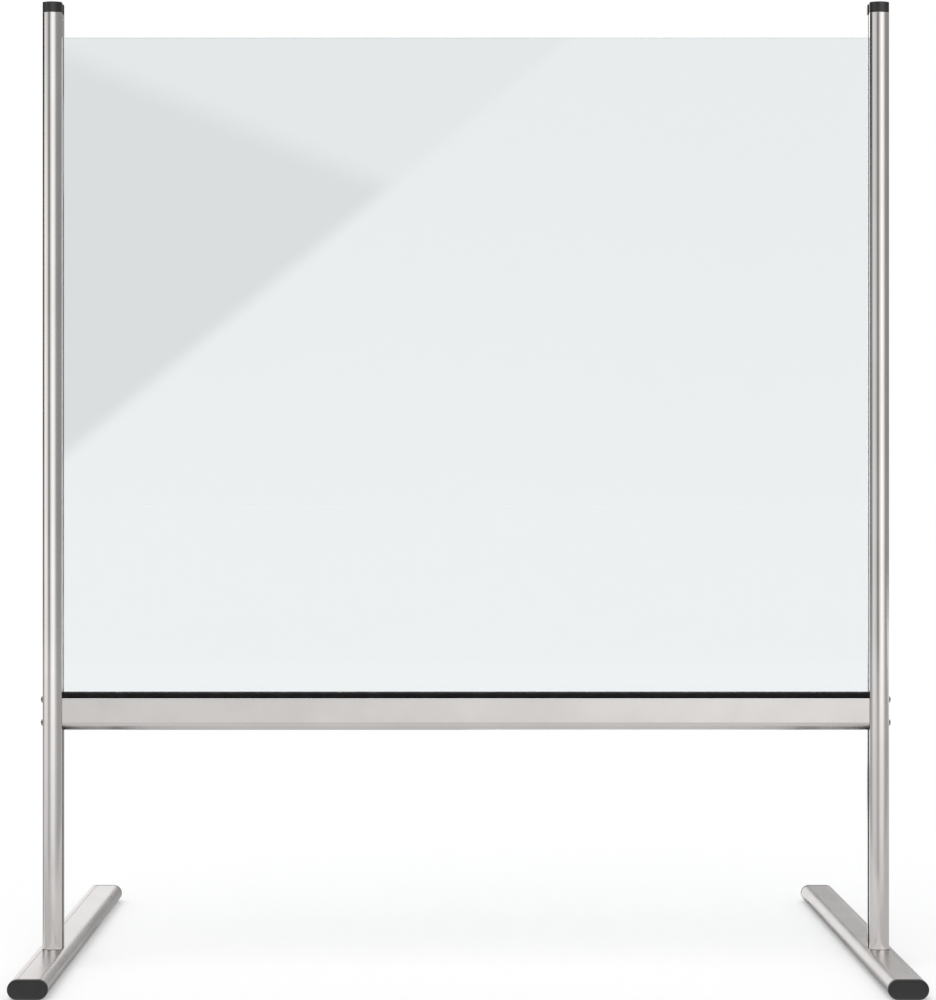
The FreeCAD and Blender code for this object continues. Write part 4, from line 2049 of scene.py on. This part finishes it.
    def make_glow(self, glow: PostGlow, pieces: Sequence[bpy.types.Object]) -> None:
        """Make the two lamps whose bands one post mirrors, one upright and one on the floor.

        Args:
            glow: Its levels over the angle from straight ahead.
            pieces: The post and its cap.
        """
        centre = glow.side.value * self.post_x
        distance = self.glow_distance
        places = glow.places(distance)
        left, right = places[0], places[-1]
        wide = right - left
        name = f"{glow.side.word}_post_glow"
        upright = self.upright_lamp(
            name, (centre + left, centre + right, 0.0, self.glow_top), self.post_front - distance, pieces
        )
        bench = NodeBench(upright.node_tree)
        place = self.lamp_place(bench)
        fade = bench.between(place["Y"], self.glow_foot_fade, self.glow_floor_share, 1.0)
        self.light_bands(bench, glow, place["X"], fade)
        lying = self.mirrored_lamp(
            f"{name}_floor",
            (centre + (left + right) / 2, self.post_front - distance / 2, self.floor_glow_rise),
            (wide, distance),
            pieces,
            Facing.UP,
        )
        bench = NodeBench(lying.node_tree)
        place = self.lamp_place(bench)
        across = bench.math("MULTIPLY_ADD", place["X"], wide, left)
        swept = bench.math("DIVIDE", across, place["Y"])
        share = bench.math("MULTIPLY_ADD", swept, 1.0 / wide, -left / wide)
        fade = bench.between(place["Y"], self.floor_glow_fade, 0.0, self.floor_glow_level)
        self.light_bands(bench, glow, share, fade)

    @staticmethod
    def light_bands(
        bench: NodeBench,
        glow: PostGlow,
        share: Socket,
        strength: Socket,
    ) -> None:
        """Light a lamp by a post's bands.

        Args:
            bench: The bench on the lamp's tree.
            glow: The post's levels.
            share: Where a spot lies between the first level and the last.
            strength: The lamp's strength.
        """
        ramp = bench.feed(bench.add("ShaderNodeValToRGB"), share)
        glow.paint(ramp.color_ramp)
        bench.feed(bench.tree.nodes["Emission"], ramp.outputs["Color"], strength)

    @staticmethod
    def lamp_place(bench: NodeBench) -> dict[str, Socket]:
        """Read where a ray meets a lamp, as shares from 0 to 1: X across it and Y up it."""
        return bench.parts(bench.geometry("Parametric"))

    def make_flank_lamp(self, pieces: Sequence[bpy.types.Object]) -> None:
        """Stand a lamp behind the screen for the right post's inner flank to mirror."""
        data = self.upright_lamp("flank_glow", self.flank_glow_span, self.flank_glow_y, pieces, Facing.FRONT)
        data.energy *= self.flank_glow_level

    def make_foot_lamp(self, feet: Sequence[bpy.types.Object]) -> None:
        """Stand a lamp in front that the feet's tops mirror into the posts' bases."""
        data = self.upright_lamp("foot_glow", self.foot_glow_span, self.foot_glow_y, feet)
        data.energy *= self.foot_glow_level

    def make_bar_lamp(self, bar: bpy.types.Object) -> None:
        """Make the lamp that the crossbar's flat face mirrors, stronger towards the right.

        Args:
            bar: The crossbar.
        """
        data = self.upright_lamp("bar_glow", self.bar_glow_span, self.bar_glow_y, [bar])
        bench = NodeBench(data.node_tree)
        place = self.lamp_place(bench)
        weak, strong = self.bar_glow_levels
        level = bench.math("MULTIPLY_ADD", place["X"], strong - weak, weak)
        lamp_top = self.bar_glow_span[-1]
        height = bench.math("MULTIPLY", place["Y"], lamp_top)
        graded = bench.between(height, self.bar_glow_foot, self.bar_glow_foot_level, level)
        bench.give(data.node_tree.nodes["Emission"].inputs["Strength"], graded)

    def make_pane_lamp(self, pane: bpy.types.Object) -> None:
        """Make the lamp that the pane mirrors, with a slanting unlit corner at its upper left.

        Args:
            pane: The clear pane.
        """
        left, right, low, high = self.pane_glow_span
        data = self.upright_lamp("pane_glow", self.pane_glow_span, self.pane_glow_y, [pane])
        bench = NodeBench(data.node_tree)
        place = self.lamp_place(bench)
        across = bench.math("MULTIPLY_ADD", place["X"], right - left, left)
        height = bench.math("MULTIPLY_ADD", place["Y"], high - low, low)
        over_slant = self.height_over(bench, across, height, self.pane_slant)
        over_corner = self.height_over(bench, across, height, self.pane_corner_top)
        soft = self.pane_slant_soft
        dim = bench.between(over_slant, (-soft, soft), 0.0, 1.0)
        soft = self.pane_top_soft
        upper = bench.between(over_corner, (-soft, soft), 0.0, self.pane_above_level)
        strong = bench.between(
            height, self.pane_level_heights, self.pane_low_level, self.pane_high_level
        )
        level = bench.mix(Mixed.NUMBER, dim, strong, upper)
        bench.give(data.node_tree.nodes["Emission"].inputs["Strength"], level)

    @staticmethod
    def height_over(
        bench: NodeBench,
        across: Socket,
        height: Socket,
        line: tuple[Point, Point],
    ) -> Socket:
        """Measure how far a place on a lamp lies over a straight line.

        Args:
            bench: The bench on the lamp's tree.
            across: The place on the X axis.
            height: Its height.
            line: Two points of the line.

        Returns:
            The height over the line.
        """
        (x0, z0), (x1, z1) = line
        slope = (z1 - z0) / (x1 - x0)
        level = bench.math("MULTIPLY_ADD", across, slope, z0 - slope * x0)
        return bench.math("SUBTRACT", height, level)


def main() -> None:
    """Build the screen's pieces in order and set up the studio."""
    logging.basicConfig(level=logging.INFO, format="%(name)s: %(message)s")
    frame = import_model()
    finishes = FinishBook()
    nodes = frame["nodes"]
    uprights = {side: Upright(finishes, nodes, side=side) for side in Side}
    feet = {side: Foot(finishes, nodes, side=side) for side in Side}
    pane = AcrylicPane(finishes, nodes)
    bar = Crossbar(finishes, nodes)
    assemblies = [*feet.values(), *uprights.values(), bar, pane]
    for assembly in assemblies:
        assembly.build()
    posts = {side: upright.pieces[:2] for side, upright in uprights.items()}
    tubes = [foot.pieces[0] for foot in feet.values()]
    Studio().build(posts, tubes, bar.pieces[0], pane.pieces[0])


if __name__ == "__main__":
    main()
